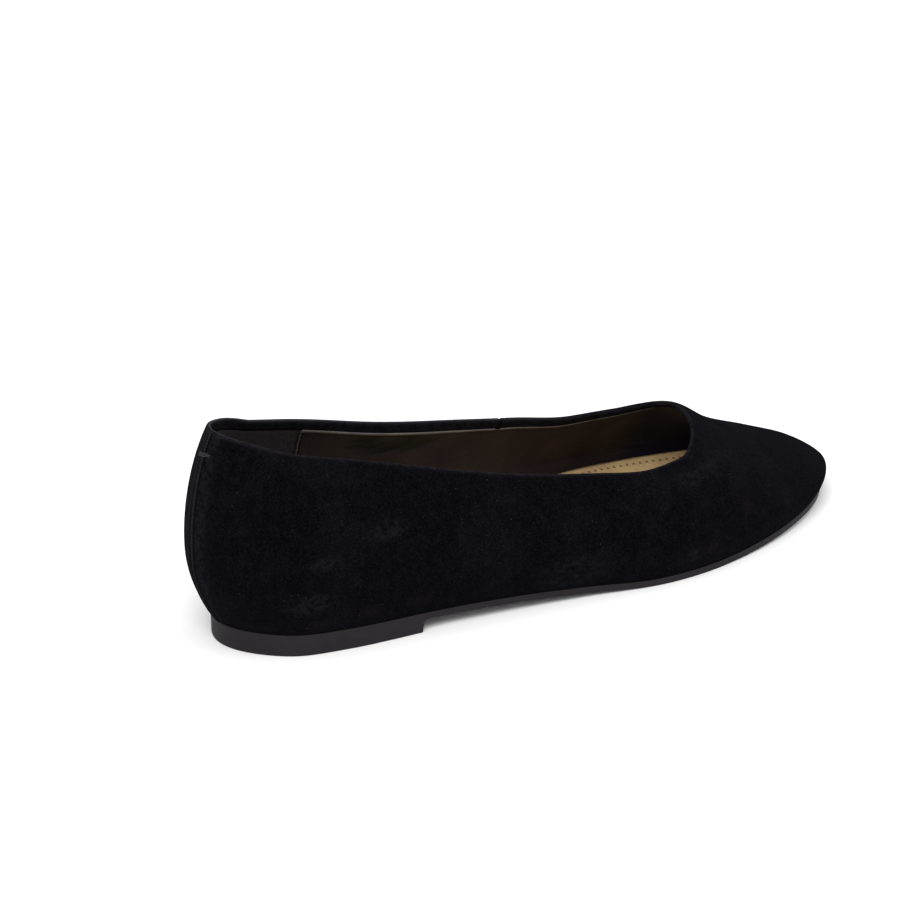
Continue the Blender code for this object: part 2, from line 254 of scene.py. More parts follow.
# The bar tack's strands: their places as shares of its width, and how much shorter they end
Strand = namedtuple("Strand", "share frayed")
TACK_STRANDS = [
    Strand(-0.4, 0.0010),
    Strand(-0.2, 0.0),
    Strand(0.0, 0.0006),
    Strand(0.2, 0.0),
    Strand(0.4, 0.0013),
]

# The lamps, all square and aimed at the shoe
Lamp = namedtuple("Lamp", "name place size power")
LAMPS = [
    Lamp("top_light", (0.2, 0.1, 1.9), 1.6, 3.0),
    Lamp("left_light", (-0.9, -1.1, 1.6), 1.0, 24.0),
    Lamp("right_light", (1.1, -1.3, 1.5), 1.0, 10.0),
]
LAMP_TARGET = (0.0, 0.0, 0.03)

Wall = namedtuple("Wall", "inward height")
Rib = namedtuple("Rib", "foot spine inward span squareness side")


def length(name, description, default):
    return FloatProperty(
        name=name,
        description=description,
        default=default,
        min=0.0,
        precision=5,
        subtype="DISTANCE",
        unit="LENGTH",
    )


def colour(name, description, default):
    return FloatVectorProperty(
        name=name,
        description=description,
        default=default,
        min=0.0,
        max=1.0,
        size=3,
        subtype="COLOR",
    )


class LastSizes(bpy.types.PropertyGroup):
    """The sizes of the last and of the shoe's walls, as its solids have them."""

    sole_length: length("Sole length", "Back of the heel to the toe along the sole", 0.235)
    ball_width: length("Ball width", "Width of the feather line at the ball", 0.078)
    instep_height: length("Instep height", "Unit of the ridge heights", 0.044)
    back_height: length("Back height", "Height of the collar at the back", 0.0760)
    heel_height: length("Heel height", "Tread to the top of the sole at the back", 0.0078)
    heel_length: length("Heel length", "Back of the heel to the breast", 0.061)
    heel_overhang: length("Heel overhang", "How far the back bulges past the sole", 0.0082)
    sole_thickness: length("Sole thickness", "Thickness of the forepart", 0.0024)
    toe_spring: length("Toe spring", "Lift of the toe off the floor", 0.0033)
    wall_thickness: length("Wall thickness", "Suede, stiffener and lining together", 0.0017)
    insole_thickness: length("Insole thickness", "Board, foam and sock", 0.0045)
    insole_cup: length("Insole cup", "Rise of the insole at its edge", 0.0030)
    edge_bevel: length("Sole edge bevel", "Bevel round the tread", 0.0005)
    breast_fillet: length("Breast fillet", "Fillet between heel block and forepart", 0.0018)


class TrimSizes(bpy.types.PropertyGroup):
    """Seams, bands and stitches."""

    back_seam_width: length("Back seam width", "Width of the raised strip", BACK_SEAM_WIDTH)
    back_seam_raise: length("Back seam raise", "Height of the raised strip", 0.0004)
    side_seam_place: length("Side seam place", "Big-toe side seam, from the back", 0.1207)
    side_seam_depth: length("Side seam depth", "Depth of the closed side seam", 0.00035)
    band_width: length("Band width", "Suede turned over the collar, inside", 0.0035)
    grip_length: length("Heel grip length", "Front edge of the heel grip, from the back", 0.0438)
    tack_height: length("Bar tack height", "Height of the tack over the tread", 0.0679)
    tack_tilt: length("Bar tack tilt", "Rise of the tack to the little-toe side", 0.0011)
    tack_length: length("Bar tack length", "Length of the tack across the back", 0.0070)
    tack_width: length("Bar tack width", "Width of the tack's threads", 0.0012)
    tooth_pitch: length("Insole stitch pitch", "Distance between embossed stitches", 0.0024)
    tooth_inset: length("Insole stitch inset", "From the insole's edge to the stitch row", 0.0030)


class Finishes(bpy.types.PropertyGroup):
    """The colours of the shoe's materials."""

    suede_dark: colour("Suede", "Nap seen from straight on", (0.0011, 0.0011, 0.0017))
    suede_light: colour("Suede nap", "Where the nap is brushed up", (0.0071, 0.0071, 0.0096))
    # Pale fibres of the turned edge, with painted sheen along the collar
    suede_fuzz_and_sheen: colour("Suede edge", "Fuzz on the turned edge", (0.050, 0.046, 0.050))
    suede_tint: colour("Suede tint", "Where the suede has taken colour", (0.0074, 0.0050, 0.0064))
    lint: colour("Lint", "Lint caught in the nap", (0.044, 0.043, 0.046))
    lining: colour("Lining", "Smooth lining leather", (0.0150, 0.0104, 0.0118))
    # Painted shade in the lining's crease
    crease_shade: colour("Smudge", "Where the lining is dented and soiled", (0.0024, 0.0023, 0.0022))
    # The vamp textile's darker colour, with painted shade under the vamp
    vamp_lining_and_shade: colour("Vamp lining", "Textile under the vamp", (0.0038, 0.0031, 0.0105))
    grip: colour("Heel grip", "Napped textile at the heel", (0.0142, 0.0112, 0.0138))
    lining_edge: colour("Lining edge", "Cut edge of the lining", (0.125, 0.120, 0.120))
    sock: colour("Insole", "Leather sock", (0.60, 0.44, 0.22))
    sock_stitch: colour("Insole stitch", "Stitches of the sock", (0.22, 0.145, 0.065))
    rubber: colour("Rubber", "Sole rubber", (0.0130, 0.0112, 0.0128))
    grip_cord: colour("Grip cord", "Cord along the grip's front edge", (0.055, 0.050, 0.054))
    thread: colour("Bar tack", "Thread of the bar tack", (0.032, 0.031, 0.033))
    floor: colour("Floor", "Pale floor", (0.90, 0.90, 0.90))


def smooth_table(stations, values):
    """Return a smooth function through the points that never overshoots them."""
    stations = np.array(stations, float)
    values = np.array(values, float)
    steps = np.diff(stations)
    slopes = np.diff(values) / steps
    tangents = [slopes[0]]
    for before, after, short, far in zip(slopes, slopes[1:], steps, steps[1:]):
        if before * after <= 0:
            tangents.append(0.0)
            continue
        near_weight = 2 * far + short
        far_weight = far + 2 * short
        tangents.append((near_weight + far_weight) / (near_weight / before + far_weight / after))
    tangents.append(slopes[-1])

    def value(station):
        station = min(max(station, stations[0]), stations[-1])
        i = min(np.searchsorted(stations, station, side="right") - 1, len(steps) - 1)
        t = (station - stations[i]) / steps[i]
        rise = steps[i] * (tangents[i] * (t - 2 * t**2 + t**3) + tangents[i + 1] * (t**3 - t**2))
        blend = 3 * t**2 - 2 * t**3
        return float(values[i] + (values[i + 1] - values[i]) * blend + rise)

    return value


def closed_curve(points):
    """A closed Catmull-Rom curve, with its tangents weighted by the root of the distances."""
    curve = []
    count = len(points)
    share = np.linspace(0, 1, CURVE_SAMPLES, endpoint=False)[:, None]
    for i in range(count):
        p0, p1, p2, p3 = (points[(i + k) % count] for k in (-1, 0, 1, 2))
        d1, d2, d3 = (np.sqrt(np.linalg.norm(b - a)) for a, b in ((p0, p1), (p1, p2), (p2, p3)))
        start = ((p1 - p0) / d1 - (p2 - p0) / (d1 + d2) + (p2 - p1) / d2) * d2
        end = ((p2 - p1) / d2 - (p3 - p1) / (d2 + d3) + (p3 - p2) / d3) * d2
        curve.append(
            (2 * share**3 - 3 * share**2 + 1) * p1
            + (share**3 - 2 * share**2 + share) * start
            + (3 * share**2 - 2 * share**3) * p2
            + (share**3 - share**2) * end
        )
    return np.concatenate(curve)


def blend(share):
    """0 to 1, level at both ends."""
    share = np.clip(share, 0.0, 1.0)
    return share * share * (3 - 2 * share)


class Last:
    """The last's shape, worked out from the sizes: every rib and every height."""

    def __init__(self, sizes):
        self.sizes = sizes
        self.long = sizes.sole_length
        stations = [row.station for row in SECTIONS]
        for column in Section._fields[1:]:
            values = [getattr(row, column) for row in SECTIONS]
            setattr(self, column, smooth_table(stations, values))
        rows = LITTLE_TOE_SIDE + BIG_TOE_SIDE
        points = [np.array([row.station * self.long, row.side * sizes.ball_width]) for row in rows]
        curve = closed_curve(points)
        tangent = np.roll(curve, -1, axis=0) - np.roll(curve, 1, axis=0)
        curve = np.hstack([curve, tangent])
        tip = int(np.argmax(curve[:, 0]))
        self.feather = {
            "outer": curve[: tip + 1],
            "inner": np.vstack([curve[:1], curve[tip:][::-1]]),
        }
        self.tip = float(curve[tip, 0])
        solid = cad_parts["sole"].data
        corners = np.array([vertex.co for vertex in solid.vertices])
        rearmost = corners[corners[:, 0] < corners[:, 0].min() + 1e-5]
        self.offset = np.array([rearmost[:, 0].min(), rearmost[:, 1].mean(), 0.0])

    def tread_height(self, x):
        share = x / self.long
        lifted = self.lift(share) * (self.sizes.heel_height - self.sizes.sole_thickness)
        return lifted + self.spring(share) * self.sizes.toe_spring

    def sole_top(self, x):
        return self.tread_height(x) + self.sizes.sole_thickness

    def ridge_height(self, x):
        return self.ridge(x / self.long) * self.sizes.instep_height

    def collar_height(self, x, drop):
        """The collar's height, lowered by drop, with its throat moved on by as much."""
        throat = self.throat(drop)
        stations = [row.station * self.long for row in COLLAR] + [throat]
        heights = [row.height * self.sizes.back_height - drop for row in COLLAR]
        return smooth_table(stations, heights + [self.ridge_height(throat)])(x)

    def throat(self, drop):
        return THROAT * self.long + drop

    def spine_point(self, x):
        heel = HEEL_CENTRE * self.long
        fan = TOE_FAN_START * self.long
        at = max(x, heel)
        if x > fan:
            share = (x - fan) / (self.tip - fan)
            reach = (TOE_CENTRE * self.long - fan) / (self.tip - fan)
            at = fan + (self.tip - fan) * (share - (1 - reach) * share**2)
        return np.array([at, self.ridge_side(at / self.long) * self.sizes.ball_width])

    def rib(self, side, x):
        line = self.feather[side]
        foot = np.array([x, np.interp(x, line[:, 0], line[:, 1])])
        spine = self.spine_point(x)
        span = np.linalg.norm(spine - foot)
        inward = (spine - foot) / span
        along = [np.interp(x, line[:, 0], line[:, column]) for column in (2, 3)]
        squareness = abs(inward[0] * along[1] - inward[1] * along[0]) / np.hypot(*along)
        return Rib(foot, spine, inward, span, squareness, side)

    def full_profile(self, rib):
        """The outside of the last in a rib's plane: distance inward from the foot, and height."""
        x = rib.foot[0]
        share = x / self.long
        start = self.sole_top(x) + SEAT_GAP
        overhang = self.overhang(share) * self.sizes.heel_overhang
        widest = start + self.widest(share) * self.sizes.instep_height
        fullness = (self.outer_fullness if rib.side == "outer" else self.inner_fullness)(share)
        rise = np.linspace(0, 1, CURVE_SAMPLES)
        lower_inward = -overhang * (1 - (1 - rise) ** LOWER_CURVE_POWER)
        lower_height = start + (widest - start) * rise
        turn = np.linspace(0, np.pi / 2, 4 * CURVE_SAMPLES)[1:]
        upper_inward = (1 - np.cos(turn) ** (2 / fullness)) * (rib.span + overhang) - overhang
        ridge = self.ridge_height(min(x, rib.spine[0]))
        if x > TOE_FAN_START * self.long:
            ahead = rib.foot[0] + rib.inward[0] * upper_inward - rib.spine[0]
            step = self.long / 1000
            at = rib.spine[0]
            slope = (self.ridge_height(at + step) - self.ridge_height(at - step)) / (2 * step)
            ridge = ridge + ahead * slope
        upper_height = widest + (ridge - widest) * np.sin(turn) ** (2 / fullness)
        inward = np.concatenate([lower_inward, upper_inward])
        return Wall(inward, np.concatenate([lower_height, upper_height]))

    def wall_profile(self, rib, drop):
        """The rib as far as a piece goes whose top edge lies drop below the collar's."""
        wall = self.full_profile(rib)
        if rib.foot[0] >= self.throat(drop):
            return wall
        limit = self.collar_height(rib.foot[0], drop)
        keep = min(int(np.searchsorted(wall.height, limit)), len(wall.height) - 1)
        edge = np.interp(limit, wall.height, wall.inward)
        return Wall(np.append(wall.inward[:keep], edge), np.append(wall.height[:keep], limit))

    def place(self, rib, inward, height):
        """A point of a rib's plane in the shoe's frame."""
        return self.point(rib.foot + rib.inward * inward, height)

    def point(self, flat, height):
        return np.array([flat[0], flat[1], height]) + self.offset

    def line(self, rib, wall):
        return np.array([self.place(rib, r, z) for r, z in zip(wall.inward, wall.height)])

    def station_at_side(self, side, distance):
        line = self.feather[side][:CURVE_SAMPLES]
        return float(np.interp(distance, np.abs(line[:, 1]), line[:, 0]))

    def stations(self, side, drop, extra=()):
        """Stations of one side's ribs, from the centre back to the toe tip."""
        heel = HEEL_CENTRE * self.long
        zone = THROAT_ZONE_START * self.long
        throat = self.throat(drop)
        fan = TOE_FAN_START * self.long
        seam = [self.station_at_side(side, share * BACK_SEAM_WIDTH) for share in STRIP_SHARES]
        turn = np.linspace(0, np.pi / 2, HEEL_RIBS + 1)[1:-1]
        curve = seam[-1] + (heel - seam[-1]) * (1 - np.cos(turn))
        quarter = np.linspace(heel, zone, QUARTER_RIBS, endpoint=False)
        quarter = np.sort(np.concatenate([quarter, np.array(extra, float)]))
        turn = np.linspace(0, np.pi / 2, THROAT_RIBS, endpoint=False)
        throat_zone = zone + (throat - zone) * np.sin(turn)
        vamp = np.linspace(throat, fan, VAMP_RIBS, endpoint=False)
        turn = np.linspace(0, np.pi / 2, TOE_RIBS)
        toe = fan + (self.tip - fan) * np.sin(turn)
        return np.concatenate([seam, curve, quarter, throat_zone, vamp, toe])


def spread(wall, count, crowding=1.0):
    """The same profile with count points along it; crowding over 1 packs them near its top."""
    run = np.hypot(np.diff(wall.inward), np.diff(wall.height))
    along = np.concatenate([[0.0], np.cumsum(run)])
    places = along[-1] * (1 - (1 - np.linspace(0, 1, count)) ** crowding)
    return Wall(np.interp(places, along, wall.inward), np.interp(places, along, wall.height))


def shifted(wall, distance):
    """The profile moved along its own normal: inward if positive, outward if negative."""
    inward_slope = np.gradient(wall.inward)
    height_slope = np.gradient(wall.height)
    run = np.hypot(inward_slope, height_slope)
    return Wall(
        wall.inward + distance * height_slope / run,
        wall.height - distance * inward_slope / run,
    )


def marked(marks, place, height):
    """How strongly the marks cover places given from the back and heights over the floor."""
    cover = np.zeros(np.broadcast(place, height).shape)
    for mark in marks:
        apart = np.hypot((place - mark.place) / mark.long, (height - mark.height) / mark.tall)
        cover = np.maximum(cover, mark.strength * blend((1.5 - apart) / 1.1))
    return cover


def vertex_normals(points, faces):
    """Area-weighted normals of a mesh of quads."""
    a, b, c, d = (points[faces[:, k]] for k in range(4))
    face_normals = np.cross(c - a, d - b)
    normals = np.zeros_like(points)
    for k in range(4):
        np.add.at(normals, faces[:, k], face_normals)
    return normals / np.linalg.norm(normals, axis=1)[:, None]


def grid_faces(grid, flip=False):
    """Quads over a grid of vertex numbers."""
    a, b, c, d = grid[:-1, :-1], grid[1:, :-1], grid[1:, 1:], grid[:-1, 1:]
    quads = np.stack([a, b, c, d], axis=-1).reshape(-1, 4)
    return quads[:, ::-1] if flip else quads


def add_shares(data, shares):
    """Store named values at a mesh's points, which its material reads."""
    for name, values in shares.items():
        share = data.attributes.new(name, "FLOAT", "POINT")
        share.data.foreach_set("value", np.asarray(values, np.float32))


def linked(name, data):
    """A new object in the scene that holds the data."""
    made = bpy.data.objects.new(name, data)
    bpy.context.scene.collection.objects.link(made)
    return made


def mesh_data(name, mesh):
    """The bmesh's shape as mesh data; the bmesh is freed."""
    data = bpy.data.meshes.new(name)
    mesh.to_mesh(data)
    mesh.free()
    return data


def new_object(name, points, faces, surface, shares=None):
    data = bpy.data.meshes.new(name)
    corners = [tuple(point) for point in points]
    data.from_pydata(corners, [], [tuple(int(i) for i in face) for face in faces])
    data.shade_smooth()
    data.materials.append(surface)
    add_shares(data, shares or {})
    return linked(name, data)


def loft(name, grids, surface, sharp_angle=None):
    """A piece from grids of points, joined where their edges meet."""
    mesh = bmesh.new()
    for grid in grids:
        corners = [[mesh.verts.new(point) for point in row] for row in grid]
        for row, after in zip(corners, corners[1:]):
            for a, b, c, d in zip(row, after, after[1:], row[1:]):
                mesh.faces.new((a, b, c, d))
    bmesh.ops.remove_doubles(mesh, verts=mesh.verts, dist=2e-6)
    bmesh.ops.recalc_face_normals(mesh, faces=mesh.faces)
    data = mesh_data(name, mesh)
    data.shade_smooth()
    if sharp_angle is not None:
        data.set_sharp_from_angle(angle=sharp_angle)
    data.materials.append(surface)
    return linked(name, data)


def solidify(piece, thickness):
    wall = piece.modifiers.new("wall", "SOLIDIFY")
    wall.thickness = thickness
    wall.offset = -1.0
    wall.use_even_offset = False
    wall.use_rim = True


def add_node(tree, kind, sockets=None, **settings):
    made = tree.nodes.new(kind)
    for name, value in settings.items():
        setattr(made, name, value)
    for name, value in (sockets or {}).items():
        if isinstance(value, bpy.types.NodeSocket):
            tree.links.new(value, made.inputs[name])
        else:
            made.inputs[name].default_value = value
    return made


def noise(tree, place, scale, detail=2.0, roughness=0.5, stretch=None):
    """Noise with about scale features a metre, as a value socket."""
    if stretch is not None:
        mapping = add_node(tree, "ShaderNodeMapping", {"Vector": place, "Scale": stretch})
        place = mapping.outputs["Vector"]
    sockets = {"Vector": place, "Scale": scale, "Detail": detail, "Roughness": roughness}
    return add_node(tree, "ShaderNodeTexNoise", sockets).outputs["Fac"]


def between(tree, value, low, high, to_low=0.0, to_high=1.0):
    sockets = {
        "Value": value,
        "From Min": low,
        "From Max": high,
        "To Min": to_low,
        "To Max": to_high,
    }
    made = add_node(tree, "ShaderNodeMapRange", sockets, interpolation_type="SMOOTHSTEP")
    return made.outputs["Result"]


def maths(tree, operation, first, second=0.0):
    made = add_node(tree, "ShaderNodeMath", operation=operation)
    for socket, value in zip(made.inputs, (first, second)):
        if isinstance(value, bpy.types.NodeSocket):
            tree.links.new(value, socket)
        else:
            socket.default_value = value
    return made.outputs["Value"]


def times(tree, first, second):
    return maths(tree, "MULTIPLY", first, second)


def plus(tree, first, second):
    return maths(tree, "ADD", first, second)


def scaled(share, colour_value):
    """A colour made darker or lighter."""
    return tuple(min(1.0, share * value) for value in colour_value)


def mixed(tree, factor, first, second):
    """A colour between two others."""
    made = add_node(tree, "ShaderNodeMix", data_type="RGBA")
    named = {"Factor": factor, "A": first, "B": second}
    for socket in made.inputs:
        if not socket.enabled or socket.name not in named:
            continue
        value = named[socket.name]
        if isinstance(value, bpy.types.NodeSocket):
            tree.links.new(value, socket)
        elif socket.name == "Factor":
            socket.default_value = value
        else:
            socket.default_value = (*value[:3], 1.0)
    return next(socket for socket in made.outputs if socket.enabled)


def new_surface(name, constants):
    """A material with its constant finish; gives its tree, shader and object coordinates."""
    surface = bpy.data.materials.new(name)
    surface.use_nodes = True
    tree = surface.node_tree
    shader = tree.nodes["Principled BSDF"]
    for socket, value in constants.items():
        shader.inputs[socket].default_value = value
    place = add_node(tree, "ShaderNodeTexCoord").outputs["Object"]
    return surface, tree, shader, place


def share_of(tree, name):
    """A named value stored at the mesh's points."""
    return add_node(tree, "ShaderNodeAttribute", attribute_name=name).outputs["Fac"]


def set_bump(tree, shader, height, strength, distance):
    sockets = {"Height": height, "Strength": strength, "Distance": distance}
    bump = add_node(tree, "ShaderNodeBump", sockets)
    tree.links.new(bump.outputs["Normal"], shader.inputs["Normal"])


def suede(finishes):
    """Black suede: brushed patches, mottled nap, fibres, lint and a lighter turned edge, partly
    pale fibres and partly painted sheen; painted light on the inside band and painted shade come
    from the mesh's shares.
    """
    constants = {
        "Roughness": 1.0,
        "Sheen Weight": 0.012,
        "Sheen Roughness": 0.45,
        "Sheen Tint": (0.80, 0.80, 0.88, 1.0),
        "Specular IOR Level": 0.0,
    }
    surface, tree, shader, place = new_surface("black_suede", constants)
    patches = between(tree, noise(tree, place, 55, 4, 0.6), 0.44, 0.66)
    strokes = between(tree, noise(tree, place, 340, 5, 0.65, (1.0, 1.0, 0.55)), 0.38, 0.70)
    nap = between(tree, noise(tree, place, 1300, 4, 0.75), 0.34, 0.70)
    fibres = noise(tree, place, 2300, 4, 0.75)
    # Brushed nap, and painted light on the turned edge and band
    brushed = share_of(tree, "brushed")
    tufts = between(tree, noise(tree, place, 420, 4, 0.7), 0.36, 0.66)
    worn_and_lit = times(tree, brushed, tufts)
    tone = times(tree, patches, 0.14)
    tone = plus(tree, tone, times(tree, strokes, 0.15))
    tone = plus(tree, tone, times(tree, nap, 0.38))
    tone = plus(tree, tone, times(tree, worn_and_lit, 1.5))
    tone = times(tree, tone, between(tree, fibres, 0.30, 0.70, 0.25, 1.85))
    body = mixed(tree, tone, finishes.suede_dark, finishes.suede_light)
    threads = between(tree, fibres, 0.35, 0.65, 0.3, 1.0)
    spots = times(tree, share_of(tree, "tinted"), threads)
    body = mixed(tree, spots, body, finishes.suede_tint)
    ends = between(tree, fibres, 0.30, 0.70, 0.4, 1.2)
    # The turned edge's pale fibres with painted sheen, and the painted highlight on the back
    # strip's edge
    fuzz_and_sheen = times(tree, share_of(tree, "edge"), ends)
    body = mixed(tree, fuzz_and_sheen, body, finishes.suede_fuzz_and_sheen)
    body = mixed(tree, share_of(tree, "shade"), body, scaled(0.3, finishes.suede_dark))
    cells = add_node(tree, "ShaderNodeTexVoronoi", {"Vector": place, "Scale": 520.0})
    speck = between(tree, cells.outputs["Distance"], 0.05, 0.10, 1.0, 0.0)
    chosen = add_node(tree, "ShaderNodeSeparateColor", {"Color": cells.outputs["Color"]})
    bright = maths(tree, "POWER", chosen.outputs["Red"], 3.0)
    lint = times(tree, speck, bright)
    tree.links.new(mixed(tree, lint, body, finishes.lint), shader.inputs["Base Color"])
    height = plus(tree, fibres, times(tree, nap, 0.6))
    set_bump(tree, shader, height, 0.6, 0.00035)
    return surface


def smooth_leather(name, tint, roughness, grain_scale, bump_distance, darkened_places=()):
    """Lining or sock leather: fine pores, soft folds, colour changes and named darker places:
    painted shade in the lining's crease, and the darker vamp textile with painted shade over it.
    """
    surface, tree, shader, place = new_surface(name, {"Specular IOR Level": 0.12})
    cloud = between(tree, noise(tree, place, 60, 3, 0.5), 0.30, 0.72)
    fine = between(tree, noise(tree, place, 900, 3, 0.6), 0.30, 0.70)
    tone = plus(tree, times(tree, cloud, 0.65), times(tree, fine, 0.35))
    dark = tuple(share * value for share, value in zip((0.74, 0.62, 0.68), tint))
    light = tuple(min(1.0, share * value) for share, value in zip((1.14, 1.20, 1.08), tint))
    body = mixed(tree, tone, dark, light)
    streaks = noise(tree, place, 420, 4, 0.65, (0.22, 0.22, 1.7))
    strokes = between(tree, streaks, 0.34, 0.62, 0.25, 1.0)
    # Darker named places: painted shade, and under the vamp the darker textile too
    for share, darker_colour in darkened_places:
        cover = times(tree, share_of(tree, share), strokes)
        body = mixed(tree, cover, body, darker_colour)
    tree.links.new(body, shader.inputs["Base Color"])
    rough = between(tree, cloud, 0.0, 1.0, roughness + 0.06, roughness - 0.06)
    tree.links.new(rough, shader.inputs["Roughness"])
    cells = add_node(
        tree,
        "ShaderNodeTexVoronoi",
        {"Vector": place, "Scale": grain_scale},
        feature="DISTANCE_TO_EDGE",
    )
    pores = between(tree, cells.outputs["Distance"], 0.0, 0.22)
    height = plus(tree, pores, times(tree, fine, 0.5))
    set_bump(tree, shader, height, 0.35, bump_distance)
    return surface


def napped_textile(name, tint):
    """Dark non-woven textile with short fibres."""
    constants = {
        "Roughness": 0.95,
        "Sheen Weight": 0.05,
        "Sheen Roughness": 0.5,
        "Specular IOR Level": 0.06,
    }
    surface, tree, shader, place = new_surface(name, constants)
    fibres = noise(tree, place, 1700, 4, 0.7)
    lines = noise(tree, place, 900, 3, 0.6, (1.0, 1.0, 0.25))
    tone = plus(tree, times(tree, fibres, 0.6), times(tree, lines, 0.4))
    tone = between(tree, tone, 0.32, 0.68)
    body = mixed(tree, tone, scaled(0.55, tint), scaled(1.6, tint))
    tree.links.new(body, shader.inputs["Base Color"])
    set_bump(tree, shader, tone, 0.5, 0.00025)
    return surface


def moulded_rubber(finishes):
    """Satin moulded rubber, with faint flow marks on its sides and a fine tread below."""
    surface, tree, shader, place = new_surface("moulded_rubber", {"Specular IOR Level": 0.12})
    cloud = between(tree, noise(tree, place, 70, 3, 0.5, (1.0, 1.0, 0.3)), 0.30, 0.70)
    flow = between(tree, noise(tree, place, 520, 3, 0.6, (0.35, 0.35, 1.6)), 0.30, 0.70)
    tone = plus(tree, times(tree, cloud, 0.6), times(tree, flow, 0.4))
    body = mixed(tree, tone, scaled(0.80, finishes.rubber), scaled(1.30, finishes.rubber))
    tree.links.new(body, shader.inputs["Base Color"])
    rough = between(tree, tone, 0.0, 1.0, 0.52, 0.64)
    tree.links.new(rough, shader.inputs["Roughness"])
    wave_sockets = {"Vector": place, "Scale": 260.0, "Distortion": 0.0}
    waves = add_node(
        tree, "ShaderNodeTexWave", wave_sockets, bands_direction="X", wave_profile="SIN"
    ).outputs["Fac"]
    waves = times(tree, waves, share_of(tree, "tread"))
    grain = noise(tree, place, 2200, 2, 0.5)
    height = plus(tree, waves, times(tree, grain, 0.10))
    set_bump(tree, shader, height, 0.6, 0.00040)
    return surface


def thread_surface(name, tint):
    """Sewing thread."""
    constants = {"Roughness": 0.8, "Sheen Weight": 0.01, "Specular IOR Level": 0.05}
    surface, tree, shader, place = new_surface(name, constants)
    twist = noise(tree, place, 4200, 2, 0.5)
    body = mixed(tree, between(tree, twist, 0.3, 0.7), scaled(0.6, tint), scaled(1.3, tint))
    tree.links.new(body, shader.inputs["Base Color"])
    set_bump(tree, shader, twist, 0.3, 0.00010)
    return surface


def stitch_tree():
    """A node tree that sets copies of one stitch along a path that lies on a surface."""
    tree = bpy.data.node_groups.new("stitch_row", "GeometryNodeTree")
    new_socket = tree.interface.new_socket
    new_socket("Path", in_out="INPUT", socket_type="NodeSocketGeometry")
    pitch = new_socket("Pitch", in_out="INPUT", socket_type="NodeSocketFloat")
    stitch = new_socket("Stitch", in_out="INPUT", socket_type="NodeSocketObject")
    finish = new_socket("Finish", in_out="INPUT", socket_type="NodeSocketMaterial")
    new_socket("Stitches", in_out="OUTPUT", socket_type="NodeSocketGeometry")
    inputs = add_node(tree, "NodeGroupInput").outputs
    path = add_node(tree, "GeometryNodeMeshToCurve", {"Mesh": inputs["Path"]})
    even = add_node(
        tree,
        "GeometryNodeResampleCurve",
        {"Curve": path.outputs["Curve"], "Length": inputs["Pitch"]},
        mode="LENGTH",
    )
    tangent = add_node(tree, "GeometryNodeInputTangent").outputs["Tangent"]
    up = add_node(tree, "GeometryNodeInputNamedAttribute", {"Name": "up"}, data_type="FLOAT_VECTOR")
    along = add_node(tree, "FunctionNodeAlignRotationToVector", {"Vector": tangent}, axis="X")
    turned = add_node(
        tree,
        "FunctionNodeAlignRotationToVector",
        {"Rotation": along.outputs["Rotation"], "Vector": up.outputs["Attribute"]},
        axis="Z",
        pivot_axis="X",
    )
    shape = add_node(tree, "GeometryNodeObjectInfo", {"Object": inputs["Stitch"]})
    copies = add_node(
        tree,
        "GeometryNodeInstanceOnPoints",
        {
            "Points": even.outputs["Curve"],
            "Instance": shape.outputs["Geometry"],
            "Rotation": turned.outputs["Rotation"],
        },
    )
    real = add_node(
        tree, "GeometryNodeRealizeInstances", {"Geometry": copies.outputs["Instances"]}
    )
    painted = add_node(
        tree,
        "GeometryNodeSetMaterial",
        {"Geometry": real.outputs["Geometry"], "Material": inputs["Finish"]},
    )
    add_node(tree, "NodeGroupOutput", {"Stitches": painted.outputs["Geometry"]})
    keys = {"pitch": pitch, "stitch": stitch, "finish": finish}
    return tree, {name: socket.identifier for name, socket in keys.items()}


def stitch_row(name, runs, pitch, stitch, surface, closed=False):
    """A plain mesh of stitches along runs of points and normals, each standing on its surface."""
    edges = []
    first = 0
    for points, ups in runs:
        count = len(points)
        last_edge = count if closed else count - 1
        edges += [(first + i, first + (i + 1) % count) for i in range(last_edge)]
        first += count
    data = bpy.data.meshes.new(name + "_path")
    data.from_pydata([tuple(point) for points, ups in runs for point in points], edges, [])
    up = data.attributes.new("up", "FLOAT_VECTOR", "POINT")
    ups = np.concatenate([ups for points, ups in runs])
    up.data.foreach_set("vector", ups.astype(np.float32).ravel())
    path = linked(name + "_path", data)
    tree, keys = stitch_tree()
    row = path.modifiers.new("stitches", "NODES")
    row.node_group = tree
    row[keys["pitch"]] = pitch
    row[keys["stitch"]] = stitch
    row[keys["finish"]] = surface
    bpy.context.view_layer.update()
    depsgraph = bpy.context.evaluated_depsgraph_get()
    made = bpy.data.meshes.new_from_object(path.evaluated_get(depsgraph))
    made.name = name
    made.shade_smooth()
    path.modifiers.remove(row)
    bpy.data.objects.remove(path)
    bpy.data.objects.remove(stitch)
    bpy.data.node_groups.remove(tree)
    return linked(name, made)


def thread_stitch(long, wide, tall):
    """One stitch: a flat-bottomed grain of thread lying along X."""
    mesh = bmesh.new()
    bmesh.ops.create_uvsphere(mesh, u_segments=8, v_segments=6, radius=0.5)
    bmesh.ops.scale(mesh, verts=mesh.verts, vec=(long, wide, tall))
    return linked("stitch", mesh_data("stitch", mesh))


